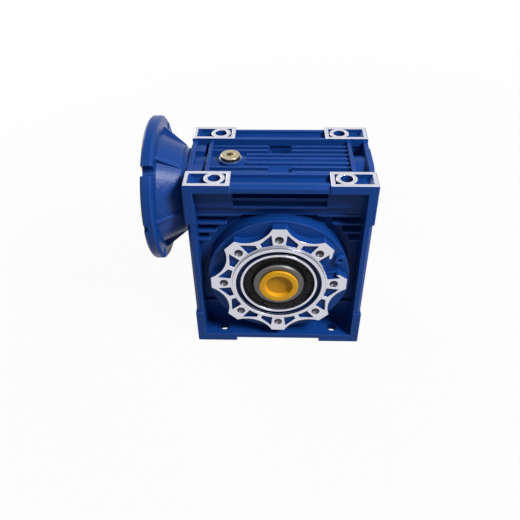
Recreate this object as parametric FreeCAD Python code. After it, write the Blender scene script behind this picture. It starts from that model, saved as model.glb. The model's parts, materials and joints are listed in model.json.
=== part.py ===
import FreeCAD, Part
import math
import os

# Worm gear reducer. Millimetres, +Z up.
# The origin is the middle of the output bore. X runs along the worm with the motor flange at -X,
# Y runs along the output shaft with the front star face at -Y.

V = FreeCAD.Vector
X_DIR = V(1, 0, 0)
Y_DIR = V(0, 1, 0)
Z_DIR = V(0, 0, 1)

# Worm pair
centre_distance = 90.0
worm_pitch_d = 37.5
wheel_teeth = 30
pressure_angle = 20.0
worm_thread_length = 66.0
worm_thin = 0.15
flank_clearance = 0.5
flank_steps = 3
gap_spans = 4
root_factor = 1.2
thread_sink = 0.5
wheel_width = 36.0
wheel_rim_extra = 1.5
wheel_edge_chamfer = 4.0
wheel_seat_d = 104.0

# Fits and clearances; join is how far two forms of one casting run into each other
shaft_fit = 0.05
spigot_fit = 0.05
thread_fit = 0.1
roller_play = 0.1
clearance_hole = 0.3
hole_overrun = 1.0
chamber_clearance = 2.0
join = 1.0

# Output shaft along Y
output_bore_d = 35.0
output_key_width = 10.0
output_key_top = 20.8
output_journal_d = 60.0
output_shoulder_d = 72.0
output_shoulder_width = 4.0
output_hub_draft = 2.0
output_seat_half = 32.0
output_bearing_od = 95.0
output_bearing_width = 23.0
output_seal_od = 85.0
output_seal_width = 8.0
seal_step = 4.0
shaft_stand_out = 3.0
shaft_end_chamfer = 1.5

# Lip seals; the shares are of the seal's wall and width
seal_case_share = 0.3
seal_lip_share = 0.33
seal_web_share = 0.53
seal_lip_height = 2.0
seal_dust_height = 1.0
seal_lip_inset = 0.5

# Yellow plug in the front mouth of the output bore
plug_flange_d = 46.0
plug_flange_thickness = 3.0
plug_mouth_d = 36.5
plug_barrel_length = 12.0
plug_recess_d = 32.0
plug_floor = 2.5
plug_recess_draft = 0.5
plug_play = 0.3

# Star face and drum
star_bolt_circle = 130.0
star_bolt_count = 8
star_tap_d = 10.0
star_tap_depth = 16.0
star_height = 10.0
star_tip_margin = 15.0
star_tip_width = 16.0
star_valley_margin = 3.0
star_pocket_depth = 7.0
star_pocket_inner_r = 57.5
star_pocket_side = 8.0
star_pocket_rib = 3.0
star_pocket_rim = 5.0
open_valley_side = 12.8
pilot_d = 110.0
pilot_inner_d = 101.6
pilot_height = 3.0
pilot_groove_depth = 3.0
seal_ring_d = 90.5
seal_ring_drop = 1.0
drum_wall = 4.5
drum_front_wall = 8.0
bearing_boss_wall = 6.5

# Side cover
cover_rim = 10.5
cover_spigot_length = 7.0
cover_spigot_wall = 6.0
cover_gasket_thickness = 0.5
cover_screw_count = 8
cover_screw_d = 6.0
cover_screw_length = 22.0
cover_screw_inset = 5.5

# Casing
casing_face_step = 2.0
side_gap = 3.0
foot_gap = 1.5
top_rise = 45.0
side_wall = 10.0
top_wall = 10.0
foot_wall = 11.5
foot_depth = 28.5
pad_height = 1.0
pad_length = 50.0
pad_rim = 4.5
pad_pocket_depth = 6.0
pad_pocket_slope = 6.0
pad_boss_d = 22.6
foot_hole_d = 13.0
top_hole_d = 14.0
foot_spacing_x = 140.0
foot_spacing_y = 100.0
casing_corner_r = 1.5
frame_chamfer = 3.5
web_face = 35.0
web_thickness = 5.0
upper_wall_face = 43.5
end_wall = 5.0
bar_drop = 3.0
bar_thickness = 4.0
bar_inset = 23.0
channel_lip = 3.0

# Worm tube, its bearings and its seal along X
tube_wall = 4.0
input_bearing_od = 68.0
input_journal_d = 40.0
input_bearing_width = 19.0
blind_bearing_od = 62.0
blind_journal_d = 30.0
blind_bearing_width = 17.0
worm_shoulder_rise = 4.0
worm_shoulder_width = 4.0
worm_neck_d = 34.0
worm_bore_r = 28.0
worm_seal_width = 8.0
circlip_thickness = 2.0
circlip_depth = 1.5
circlip_band = 4.0
circlip_play = 0.2
flange_spigot_length = 4.0
end_cap_width = 8.0
end_cap_wall = 2.0
end_cap_inset = 2.0

# Motor bore in the worm
motor_bore_d = 15.875
motor_bore_depth = 55.0
motor_key_width = 4.76
motor_key_top = 10.2
worm_stand_out = 2.0

# Input flange
flange_od = 165.1
flange_rim_thickness = 11.0
flange_face_reach = 43.0
flange_edge = 2.5
flange_rim_step = 2.0
flange_rim_step_drop = 3.0
bell_base_r = 62.5
bell_end_r = 49.0
bell_neck_r = 46.0
bell_neck_length = 5.0
bell_floor = 8.5
bell_mouth_r = 55.0
bell_floor_r = 46.9
flange_pilot_d = 114.3
flange_pilot_depth = 5.0
flange_slot_width = 11.0
flange_slot_circle = 149.2
flange_slot_count = 4
flange_rib_count = 6
flange_rib_thickness = 4.0
flange_rib_top_r = 70.0
flange_rib_sink = 4.0
flange_rib_end_rise = 1.0
flange_notch_width = 8.0
flange_notch_depth = 5.0
flange_gasket_thickness = 0.5
flange_screw_r = 40.0
flange_screw_angle = 33.7
flange_screw_d = 8.0
flange_screw_length = 20.0
flange_screw_boss_half = 7.0
flange_screw_boss_length = 17.0
flange_bore_r = 25.0

# Cooling ribs
top_rib_pitch = 9.3
top_rib_thickness = 2.4
top_rib_drop = 5.0
top_rib_notch = 27.0
top_rib_notch_slope = 0.4
plain_rib_start = 38.0
recess_rib_thickness = 2.4
recess_rib_count = 4
recess_rib_clear_r = 94.0
recess_rib_reach = 10.0
recess_rib_gap = 11.8
recess_rib_first = 7.0
long_rib_reach = 5.5
long_rib_half = 52.0
long_rib_levels = (18.0, 6.5)
low_rib_level = 57.0
low_rib_reach = 3.5
under_rib_x = 30.0
under_rib_thickness = 4.0

# Filler plug and level plug
filler_x = 56.0
filler_boss_r = 14.0
filler_boss_drop = 4.6
filler_head_d = 22.0
filler_head_height = 2.6
filler_thread_d = 16.0
filler_socket = 8.0
filler_socket_depth = 6.0
filler_seal_d = 23.0
filler_seal_thickness = 1.4
filler_washer_d = 24.6
filler_washer_thickness = 0.6
level_plug_r = 77.0
level_plug_angle = 23.5
level_plug_head_d = 13.0
level_plug_head_height = 4.0
level_plug_thread_d = 8.0
level_plug_socket = 5.0
level_plug_socket_depth = 3.0

# Taper rollers
roller_angle = 12.0
roller_taper = 2.0
roller_sides = 12
roller_end_play = 0.3
roller_size_share = 0.24
roller_length_share = 0.6
cone_lip = 0.8
cone_rib = 2.0
output_roller_count = 16
input_roller_count = 14
blind_roller_count = 12

# Socket head screws, as shares of the thread's diameter
screw_head_share = 1.6
screw_socket_share = 0.8
screw_socket_depth_share = 0.55

# Worked out from the sizes above
worm_pitch_r = worm_pitch_d / 2
wheel_pitch_r = centre_distance - worm_pitch_r
module = 2 * wheel_pitch_r / wheel_teeth
lead = math.pi * module
worm_tip_r = worm_pitch_r + module
worm_root_r = worm_pitch_r - root_factor * module
wheel_throat_r = wheel_pitch_r + module
wheel_outer_r = wheel_throat_r + wheel_rim_extra
chamber_r = wheel_outer_r + chamber_clearance
drum_r = chamber_r + drum_wall
cover_r = chamber_r + cover_rim
cover_screw_r = cover_r - cover_screw_inset

output_bore_r = output_bore_d / 2
output_journal_r = output_journal_d / 2
output_cup_r = output_bearing_od / 2
output_seal_r = output_seal_od / 2
bearing_outer_face = output_seat_half + output_bearing_width
seal_inner_face = bearing_outer_face + seal_step
shaft_half = seal_inner_face + output_seal_width + shaft_stand_out
star_face = shaft_half - pilot_height
drum_face = star_face - star_height
half_depth = star_face - casing_face_step
cover_face = drum_face - star_height
inner_front = drum_face - drum_front_wall
bearing_boss_r = output_cup_r + bearing_boss_wall

half_width = cover_r + side_gap + side_wall
foot_z = -(cover_r + foot_gap + foot_wall)
top_z = centre_distance + top_rise
foot_inner = half_depth - foot_depth
inner_half = half_width - side_wall
inner_top = top_z - top_wall
inner_foot = foot_z + foot_wall
bar_top = top_z - bar_drop
rib_top = top_z - top_rib_drop

input_cup_r = input_bearing_od / 2
blind_cup_r = blind_bearing_od / 2
input_journal_r = input_journal_d / 2
blind_journal_r = blind_journal_d / 2
tube_r = input_cup_r + tube_wall
seal_outer_x = half_width - flange_spigot_length - circlip_play
seal_inner_x = seal_outer_x - worm_seal_width
input_clip_x = seal_inner_x - circlip_play
input_bearing_x = input_clip_x - circlip_thickness - circlip_play
input_seat_x = input_bearing_x - input_bearing_width
cap_outer_x = half_width - end_cap_inset
cap_inner_x = cap_outer_x - end_cap_width
blind_clip_x = cap_inner_x - circlip_play
blind_bearing_x = blind_clip_x - circlip_thickness - circlip_play
blind_seat_x = blind_bearing_x - blind_bearing_width
worm_end_x = half_width + worm_stand_out
flange_face_x = half_width + flange_face_reach
flange_seat_x = half_width + flange_gasket_thickness
flange_floor_x = flange_seat_x + bell_floor
flange_rim_x = flange_face_x - flange_rim_thickness
bell_base_x = flange_rim_x - flange_rim_step


def box(x, y, z):
    """A box between the two ends given for each axis."""
    size = V(x[1] - x[0], y[1] - y[0], z[1] - z[0])
    return Part.makeBox(size.x, size.y, size.z, V(x[0], y[0], z[0]))


def cylinder_x(r, ends, y=0, z=centre_distance):
    """A cylinder along X, on the worm axis unless told otherwise."""
    return Part.makeCylinder(r, ends[1] - ends[0], V(ends[0], y, z), X_DIR)


def cylinder_y(r, ends, x=0, z=0):
    """A cylinder along Y, on the output axis unless told otherwise."""
    return Part.makeCylinder(r, ends[1] - ends[0], V(x, ends[0], z), Y_DIR)


def cylinder_z(r, ends, x=0, y=0):
    """A cylinder along Z."""
    return Part.makeCylinder(r, ends[1] - ends[0], V(x, y, ends[0]), Z_DIR)


def closed_face(points):
    """A flat face inside the polygon through the points."""
    return Part.Face(Part.makePolygon(points + [points[0]]))


def turned_x(outline):
    """A solid of revolution on the worm axis from (x, radius) points."""
    face = closed_face([V(x, 0, centre_distance + r) for x, r in outline])
    return face.revolve(V(0, 0, centre_distance), X_DIR, 360)


def turned_y(outline):
    """A solid of revolution on the output axis from (y, radius) points."""
    face = closed_face([V(r, y, 0) for y, r in outline])
    return face.revolve(V(0, 0, 0), Y_DIR, 360)


def around_output(shape, angle):
    """A copy turned about the output axis, from +X towards +Z."""
    copy = shape.copy()
    copy.rotate(V(0, 0, 0), Y_DIR, -angle)
    return copy


def around_worm(shape, angle):
    """A copy turned about the worm axis, from +Z towards the front."""
    copy = shape.copy()
    copy.rotate(V(0, 0, centre_distance), X_DIR, angle)
    return copy


def to_rear(shape):
    """The mirror image on the rear side."""
    return shape.mirror(V(0, 0, 0), Y_DIR)


def to_left(shape):
    """The mirror image on the motor side of the worm."""
    return shape.mirror(V(0, 0, 0), X_DIR)


def fused(shapes):
    """One solid from shapes that overlap or touch."""
    return shapes[0].multiFuse(shapes[1:]).removeSplitter()


def polar(r, angle, y):
    """A point at a radius and angle about the output axis, from +X towards +Z."""
    turn = math.radians(angle)
    return V(r * math.cos(turn), y, r * math.sin(turn))


def hex_prism(across_flats, depth, base, direction):
    """A hexagon prism for a socket, from its base point along a direction."""
    reach = across_flats / math.sqrt(3)
    points = []
    for corner in range(6):
        turn = math.radians(60 * corner)
        points.append(V(reach * math.cos(turn), reach * math.sin(turn), 0))
    prism = closed_face(points).extrude(V(0, 0, depth))
    prism.Placement = FreeCAD.Placement(base, FreeCAD.Rotation(Z_DIR, direction))
    return prism


def socket_screw(d, length, seat, direction):
    """A socket head screw whose head rests at the seat point and whose shank runs along direction."""
    top = seat - direction * d
    head = Part.makeCylinder(d * screw_head_share / 2, d, top, direction)
    shank = Part.makeCylinder(d / 2, length, seat, direction)
    socket = hex_prism(d * screw_socket_share, d * screw_socket_depth_share, top, direction)
    return head.fuse(shank).removeSplitter().cut(socket)


# Worm and wheel teeth

def thread_half_width(r):
    """Half the axial thickness of the worm thread at a radius."""
    slope = math.tan(math.radians(pressure_angle))
    return lead / 4 - worm_thin + (worm_pitch_r - r) * slope


def worm_thread():
    """The right-handed thread, with its crest at x = 0 on the side that faces the wheel."""
    turns = worm_thread_length / lead + 2
    base_r = worm_root_r - thread_sink
    low = thread_half_width(base_r)
    high = thread_half_width(worm_tip_r)
    outline = [V(base_r, 0, -low), V(worm_tip_r, 0, -high), V(worm_tip_r, 0, high), V(base_r, 0, low)]
    profile = Part.makePolygon(outline + [outline[0]])
    helix = Part.makeHelix(lead, lead * turns, base_r)
    thread = Part.Wire(helix.Edges).makePipeShell([profile], True, True)
    start = turns / 2
    thread.translate(V(0, 0, -lead * start))
    thread.rotate(V(0, 0, 0), Z_DIR, -360 * (start - math.floor(start)))
    # the helix axis Z becomes X, and its start direction X becomes -Z, which faces the wheel
    thread.rotate(V(0, 0, 0), Y_DIR, 90)
    thread.translate(V(0, 0, centre_distance))
    half = worm_thread_length / 2
    return thread.common(cylinder_x(worm_tip_r + join, (-half, half)))


def rack_flank(side, y, depth):
    """Where the thread's flank cuts the plane at y, this far below the worm axis."""
    r = math.hypot(y, depth)
    shift = lead * math.atan2(y, depth) / (2 * math.pi)
    room = flank_clearance / math.cos(math.radians(pressure_angle))
    return shift + side * (thread_half_width(r) + room)


def wheel_flank_point(side, y, height):
    """The wheel flank point that meets the thread at a height above the wheel's pitch circle."""
    step = 0.01
    depth = worm_pitch_r - height
    place = rack_flank(side, y, depth)
    slope = (rack_flank(side, y, depth - step) - rack_flank(side, y, depth + step)) / (2 * step)
    travel = -height / slope - place
    radius = math.hypot(place + travel, wheel_pitch_r + height)
    turn = math.atan2(place + travel, wheel_pitch_r + height) - travel / wheel_pitch_r
    return V(radius * math.sin(turn), y, radius * math.cos(turn))


def tooth_gap_section(y):
    """The outline of one tooth gap in the plane at y: flanks, and a root that clears the thread's crest."""
    root_reach = worm_tip_r + (root_factor - 1) * module
    lowest = worm_pitch_r - math.sqrt(root_reach ** 2 - y ** 2)
    highest = wheel_outer_r - wheel_pitch_r + join
    step = (highest - lowest) / flank_steps
    heights = [lowest + step * place for place in range(flank_steps + 1)]
    flanks = []
    for side in (1, -1):
        points = [wheel_flank_point(side, y, height) for height in heights]
        inward = (wheel_pitch_r + lowest) / math.hypot(points[0].x, points[0].z)
        flanks.append([V(points[0].x * inward, y, points[0].z * inward)] + points)
    right, left = flanks
    return Part.makePolygon(right + left[::-1] + [right[0]])


def worm_wheel_rim():
    """The bronze rim with a throated edge and teeth that wrap the worm."""
    half = wheel_width / 2
    throat = centre_distance - wheel_throat_r
    throat_half = math.sqrt(throat ** 2 - (centre_distance - wheel_outer_r) ** 2)
    seat_r = wheel_seat_d / 2
    side = wheel_outer_r - wheel_edge_chamfer
    corner = half - wheel_edge_chamfer
    ends = [V(wheel_outer_r, -throat_half, 0), V(wheel_throat_r, 0, 0), V(wheel_outer_r, throat_half, 0)]
    outline = [ends[2], V(wheel_outer_r, corner, 0), V(side, half, 0), V(seat_r, half, 0)]
    outline += [V(seat_r, -half, 0), V(side, -half, 0), V(wheel_outer_r, -corner, 0), ends[0]]
    edges = Part.makePolygon(outline).Edges
    edges.append(Part.Arc(*ends).toShape())
    blank = Part.Face(Part.Wire(Part.__sortEdges__(edges))).revolve(V(0, 0, 0), Y_DIR, 360)
    reach = half + join
    planes = [reach * (2 * place / gap_spans - 1) for place in range(gap_spans + 1)]
    gap = Part.makeLoft([tooth_gap_section(y) for y in planes], True, True)
    gaps = [around_output(gap, 360 / wheel_teeth * tooth) for tooth in range(wheel_teeth)]
    return blank.cut(Part.makeCompound(gaps))


# Taper roller bearings

def roller_end(centre, r, lean):
    """The many-sided outline of one end of a leaning roller."""
    points = []
    for corner in range(roller_sides):
        turn = 2 * math.pi * corner / roller_sides
        rise = r * math.cos(turn)
        at = V(centre[0] + rise * math.sin(lean), r * math.sin(turn), centre[1] + rise * math.cos(lean))
        points.append(at)
    return Part.makePolygon(points + [points[0]])


def taper_bearing(bore_r, cup_r, width, count):
    """Outlines of cup and cone as (distance, radius) and a list of rollers along +X.

    The distance runs from the seat on the shaft's shoulder towards the outside. The rollers'
    large ends are at the seat."""
    lean = math.radians(roller_angle)
    roller_r = (cup_r - bore_r) * roller_size_share
    length = width * roller_length_share
    middle = width / 2
    centre_r = (cup_r + bore_r) / 2
    widen = length / 2 * math.tan(math.radians(roller_taper))
    big, small = roller_r + widen, roller_r - widen
    back = (middle - length / 2 * math.cos(lean), centre_r + length / 2 * math.sin(lean))
    front = (middle + length / 2 * math.cos(lean), centre_r - length / 2 * math.sin(lean))

    def race(side, at):
        """The raceway's radius on one side of the rollers."""
        start = (back[0] + side * (big + roller_play) * math.sin(lean),
                 back[1] + side * (big + roller_play) * math.cos(lean))
        end = (front[0] + side * (small + roller_play) * math.sin(lean),
               front[1] + side * (small + roller_play) * math.cos(lean))
        share = (at - start[0]) / (end[0] - start[0])
        return start[1] + share * (end[1] - start[1])

    cup_start = back[0]
    cup = [(cup_start, cup_r), (width, cup_r), (width, race(1, width)), (cup_start, race(1, cup_start))]
    rib = back[0] - big * math.sin(lean) - roller_end_play
    lip = front[0] + roller_end_play
    cone = [(0, bore_r), (width - roller_end_play, bore_r), (width - roller_end_play, race(-1, lip) + cone_lip)]
    cone += [(lip, race(-1, lip) + cone_lip), (lip, race(-1, lip)), (rib, race(-1, rib))]
    cone += [(rib, race(-1, rib) + cone_rib), (0, race(-1, rib) + cone_rib)]
    ends = [roller_end(back, big, lean), roller_end(front, small, lean)]
    roller = Part.makeLoft(ends, True, True)
    rollers = []
    for place in range(count):
        copy = roller.copy()
        copy.rotate(V(0, 0, 0), X_DIR, 360 / count * place)
        rollers.append(copy)
    return cup, cone, rollers


def worm_bearing(name, journal_r, cup_r, width, count, seat, side):
    """The three pieces of one worm bearing, on the motor side (-1) or the blind side (1)."""
    cup, cone, rollers = taper_bearing(journal_r + shaft_fit, cup_r, width, count)
    pieces = {name + "_cup": turned_x([(seat + at, r) for at, r in cup]),
              name + "_cone": turned_x([(seat + at, r) for at, r in cone])}
    group = Part.makeCompound(rollers)
    group.translate(V(seat, 0, centre_distance))
    pieces[name + "_rollers"] = group
    if side < 0:
        pieces = {node: to_left(shape) for node, shape in pieces.items()}
    return pieces


def output_bearing(name, rear):
    """The three pieces of one output bearing."""
    cup, cone, rollers = taper_bearing(output_journal_r + shaft_fit, output_cup_r, output_bearing_width,
                                       output_roller_count)
    pieces = {name + "_cup": turned_y([(output_seat_half + at, r) for at, r in cup]),
              name + "_cone": turned_y([(output_seat_half + at, r) for at, r in cone])}
    group = Part.makeCompound(rollers)
    group.rotate(V(0, 0, 0), Z_DIR, 90)
    group.translate(V(0, output_seat_half, 0))
    pieces[name + "_rollers"] = group
    if not rear:
        pieces = {node: to_rear(shape) for node, shape in pieces.items()}
    return pieces


# Star face, shared by the housing and the cover

def star_outline(y):
    """The star's outline: flat lobe ends with hollow arcs between them."""
    tip_r = star_bolt_circle / 2 + star_tip_margin
    valley_r = star_bolt_circle / 2 + star_valley_margin
    corner_r = math.hypot(tip_r, star_tip_width / 2)
    corner = math.degrees(math.atan2(star_tip_width / 2, tip_r))
    step = 360 / star_bolt_count
    edges = []
    for lobe in range(star_bolt_count):
        angle = lobe * step
        first = polar(corner_r, angle - corner, y)
        last = polar(corner_r, angle + corner, y)
        valley = polar(valley_r, angle + step / 2, y)
        following = polar(corner_r, angle + step - corner, y)
        edges.append(Part.LineSegment(first, last).toShape())
        edges.append(Part.Arc(last, valley, following).toShape())
    return Part.Face(Part.Wire(edges))


def star_pocket(angle, side):
    """One trapezoid pocket between a lobe and the rib in the valley beside it."""
    step = 360 / star_bolt_count
    bolt_r = star_bolt_circle / 2
    outer_r = bolt_r + star_tip_margin / 2
    valley_r = bolt_r + star_valley_margin - star_pocket_rim
    near = math.degrees(star_pocket_side / bolt_r)
    far = step / 2 - math.degrees(star_pocket_rib / bolt_r)
    corners = [(star_pocket_inner_r, near), (outer_r, near), (valley_r, far), (star_pocket_inner_r, far)]
    points = [polar(r, angle + side * turn, -star_face) for r, turn in corners]
    return closed_face(points).extrude(V(0, star_pocket_depth, 0))


def star_cuts(open_valley):
    """Bolt holes and pockets of the front star face."""
    step = 360 / star_bolt_count
    hole = cylinder_y(star_tap_d / 2, (-star_face, -star_face + star_tap_depth), x=star_bolt_circle / 2)
    cuts = []
    for lobe in range(star_bolt_count):
        cuts.append(around_output(hole, lobe * step))
        for side in (-1, 1):
            cuts.append(star_pocket(lobe * step, side))
    if open_valley:
        reach = math.degrees(open_valley_side / star_bolt_circle * 2)
        corners = [(star_pocket_inner_r, reach), (drum_r, reach), (drum_r, step - reach)]
        corners.append((star_pocket_inner_r, step - reach))
        points = [polar(r, turn, -star_face) for r, turn in corners]
        cuts.append(closed_face(points).extrude(V(0, star_height, 0)))
    return cuts


def output_hub():
    """The front hub: star, pilot ring, groove and the ring round the seal, without its bores."""
    star = star_outline(-star_face).extrude(V(0, star_height, 0))
    pilot = cylinder_y(pilot_d / 2, (-shaft_half, -drum_face))
    boss = cylinder_y(bearing_boss_r, (-drum_face, -output_seat_half + join))
    hub = fused([star, pilot, boss])
    groove_floor = -star_face + pilot_groove_depth
    groove = cylinder_y(pilot_inner_d / 2, (-shaft_half, groove_floor))
    groove = groove.cut(cylinder_y(seal_ring_d / 2, (-shaft_half, groove_floor)))
    ring_top = cylinder_y(seal_ring_d / 2, (-shaft_half, -shaft_half + seal_ring_drop))
    return hub.cut(Part.makeCompound([groove, ring_top]))


def hub_bores():
    """Seal bore and bearing bore of the front hub."""
    seal = cylinder_y(output_seal_r, (-shaft_half, -bearing_outer_face))
    bearing = cylinder_y(output_cup_r, (-bearing_outer_face, -output_seat_half + join))
    return [seal, bearing]


# Housing

def rounded_block():
    """The casing's outer block with rounded corners along Y."""
    block = box((-half_width, half_width), (-half_depth, half_depth), (foot_z, top_z))
    corners = [edge for edge in block.Edges if abs(edge.tangentAt(edge.FirstParameter).y) > 0.9]
    return block.makeFillet(casing_corner_r, corners)


def frame():
    """The front frame: a square ring with raised corner pads."""
    low = pad_height
    back = -foot_inner
    ring = box((-half_width + low, half_width - low), (-half_depth + low, back), (foot_z + low, top_z - low))
    front_edges = [edge for edge in ring.Edges
                   if max(abs(vertex.Point.y + half_depth - low) for vertex in edge.Vertexes) < 1e-6]
    ring = ring.makeChamfer(frame_chamfer, front_edges)
    corners = []
    for side in (-1, 1):
        across = sorted((side * half_width, side * (half_width - pad_length)))
        edge = sorted((side * half_width, side * inner_half))
        depth = (-half_depth, back)
        corners.append(box(across, depth, (inner_top, top_z)))
        corners.append(box(edge, depth, (top_z - pad_length, top_z)))
        corners.append(box(across, depth, (foot_z, inner_foot)))
        corners.append(box(edge, depth, (foot_z, foot_z + pad_length)))
    window = box((-inner_half, inner_half), (-half_depth - join, back + join), (inner_foot, inner_top))
    return fused([ring] + corners).cut(window).common(rounded_block())


def pad_cuts():
    """Bolt holes and pockets of the pads on top and below, and the channels between the pads."""
    cuts = []
    middle_y = (half_depth + foot_inner) / 2
    pocket_half = foot_depth / 2 - pad_rim
    for side_x in (-1, 1):
        for side_y in (-1, 1):
            x = side_x * foot_spacing_x / 2
            y = side_y * foot_spacing_y / 2
            outer = side_x * (half_width - pad_rim)
            outer_floor = side_x * (half_width - pad_rim - pad_pocket_slope)
            inner = side_x * (half_width - pad_length + pad_rim)
            start_y = side_y * middle_y - pocket_half
            for face, floor in ((top_z, top_z - pad_pocket_depth), (foot_z, foot_z + pad_pocket_depth)):
                corners = ((outer, face), (outer_floor, floor), (inner, floor), (inner, face))
                pocket = closed_face([V(at, start_y, level) for at, level in corners])
                pocket = pocket.extrude(V(0, 2 * pocket_half, 0))
                cuts.append(pocket.cut(cylinder_z(pad_boss_d / 2, sorted((face, floor)), x, y)))
            cuts.append(cylinder_z(top_hole_d / 2, (inner_top - join, top_z), x, y))
            cuts.append(cylinder_z(foot_hole_d / 2, (foot_z, inner_foot + join), x, y))
    front = -half_depth + pad_height + frame_chamfer + channel_lip
    between_pads = (-half_width + pad_length, half_width - pad_length)
    for start, end in ((top_z - pad_pocket_depth, top_z), (foot_z, foot_z + pad_pocket_depth)):
        channel = box(between_pads, (front, -foot_inner - pad_rim), (start, end))
        cuts += [channel, to_rear(channel)]
    return cuts


def recess_ribs():
    """Cooling ribs in the front recess: beside the drum, along the worm tube and low on the wall."""
    half = recess_rib_thickness / 2
    across = (-inner_half - join, inner_half + join)
    deep = (-web_face - recess_rib_reach, -web_face + join)
    shallow = (-web_face - low_rib_reach, -web_face + join)
    upper = (-upper_wall_face - long_rib_reach, -upper_wall_face + join)
    first = centre_distance - recess_rib_first
    ribs = []
    for row in range(recess_rib_count):
        level = first - row * recess_rib_gap
        ribs.append(box(across, deep, (level - half, level + half)))
    ribs.append(box(across, shallow, (-low_rib_level - half, -low_rib_level + half)))
    clear = cylinder_y(recess_rib_clear_r, (-half_depth, -web_face))
    ribs = [rib.cut(clear) for rib in ribs]
    for rise in long_rib_levels:
        level = centre_distance + rise
        ribs.append(box((-long_rib_half, long_rib_half), upper, (level - half, level + half)))
    for side in (-1, 1):
        corner = sorted((side * long_rib_half, side * (inner_half + join)))
        ribs.append(box(corner, upper, (centre_distance + long_rib_levels[1], inner_top + join)))
    return ribs


def top_ribs():
    """Cooling fins on the worm tube between the two inner bars, notched in the middle."""
    left = -(half_width - bar_inset)
    right = half_width - bar_inset
    floor = centre_distance + worm_bore_r
    half = top_rib_thickness / 2
    notch_top = top_rib_notch / 2
    notch_foot = notch_top - (rib_top - floor) * top_rib_notch_slope
    ribs = []
    for row in range(-3, 4):
        y = row * top_rib_pitch
        notched = abs(row) > 1
        start = left if notched else -plain_rib_start
        fin = box((start, right), (y - half, y + half), (floor, rib_top))
        if notched:
            corners = [(-notch_top, rib_top), (notch_top, rib_top), (notch_foot, floor), (-notch_foot, floor)]
            notch = closed_face([V(x, y - half, z) for x, z in corners])
            fin = fin.cut(notch.extrude(V(0, top_rib_thickness, 0)))
        ribs.append(fin)
    return ribs


def flange_screw_places():
    """Where the flange screws stand about the worm axis, as (y, z)."""
    turn = math.radians(flange_screw_angle)
    across = flange_screw_r * math.sin(turn)
    up = flange_screw_r * math.cos(turn)
    return [(side_y * across, centre_distance + side_z * up) for side_y in (-1, 1) for side_z in (-1, 1)]


def housing_shell():
    """The casting before its bores are cut."""
    front = frame()
    across = (-inner_half - join, inner_half + join)
    web = box(across, (-web_face, -web_face + web_thickness), (inner_foot - join, centre_distance))
    upper_depth = (-upper_wall_face, -upper_wall_face + web_thickness)
    shelf = (centre_distance - recess_rib_first, centre_distance)
    upper = box(across, upper_depth, (shelf[0], inner_top + join))
    upper = upper.fuse(box(across, (-upper_wall_face, -web_face + join), shelf))
    sill = box(across, (-foot_inner - join, -web_face + join), (foot_z + pad_height, inner_foot))
    pieces = [front, to_rear(front), web, to_rear(web), upper, to_rear(upper), sill, to_rear(sill)]
    pieces.append(cylinder_y(drum_r, (-drum_face, web_face)))
    pieces.append(cylinder_y(cover_r, (web_face - web_thickness, cover_face)))
    pieces.append(output_hub())
    pieces.append(cylinder_x(tube_r, (-half_width + end_wall, half_width - end_wall)))
    for side in (-1, 1):
        outside = side * (half_width - pad_height)
        wall = sorted((outside, outside - side * end_wall))
        between_frames = (-foot_inner - join, foot_inner + join)
        pieces.append(box(wall, between_frames, (foot_z + pad_height, bar_top)))
        bar = side * (half_width - bar_inset)
        bar_width = (bar - bar_thickness / 2, bar + bar_thickness / 2)
        between_walls = (-upper_wall_face + join, upper_wall_face - join)
        pieces.append(box(bar_width, between_walls, (centre_distance, bar_top)))
        face = sorted((side * half_width, side * (half_width - end_wall)))
        below_bar = box(face, (-bell_neck_r, bell_neck_r), (centre_distance - bell_neck_r, bar_top))
        pieces.append(cylinder_x(bell_neck_r, face).common(below_bar))
        under = side * under_rib_x
        under_width = (under - under_rib_thickness / 2, under + under_rib_thickness / 2)
        under_top = -math.sqrt(drum_r ** 2 - under_rib_x ** 2) + drum_wall
        pieces.append(box(under_width, (-web_face + join, web_face - join), (foot_z + pad_height, under_top)))
    boss = flange_screw_boss_half
    for y, z in flange_screw_places():
        ends = (-half_width, -half_width + flange_screw_boss_length)
        pieces.append(box(ends, (y - boss, y + boss), (z - boss, z + boss)))
    boss_top = top_z - filler_boss_drop
    pieces.append(cylinder_z(filler_boss_r, (centre_distance + worm_bore_r, boss_top), x=-filler_x))
    ribs = recess_ribs()
    pieces += ribs + [to_rear(rib) for rib in ribs] + top_ribs()
    return fused(pieces)


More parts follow.
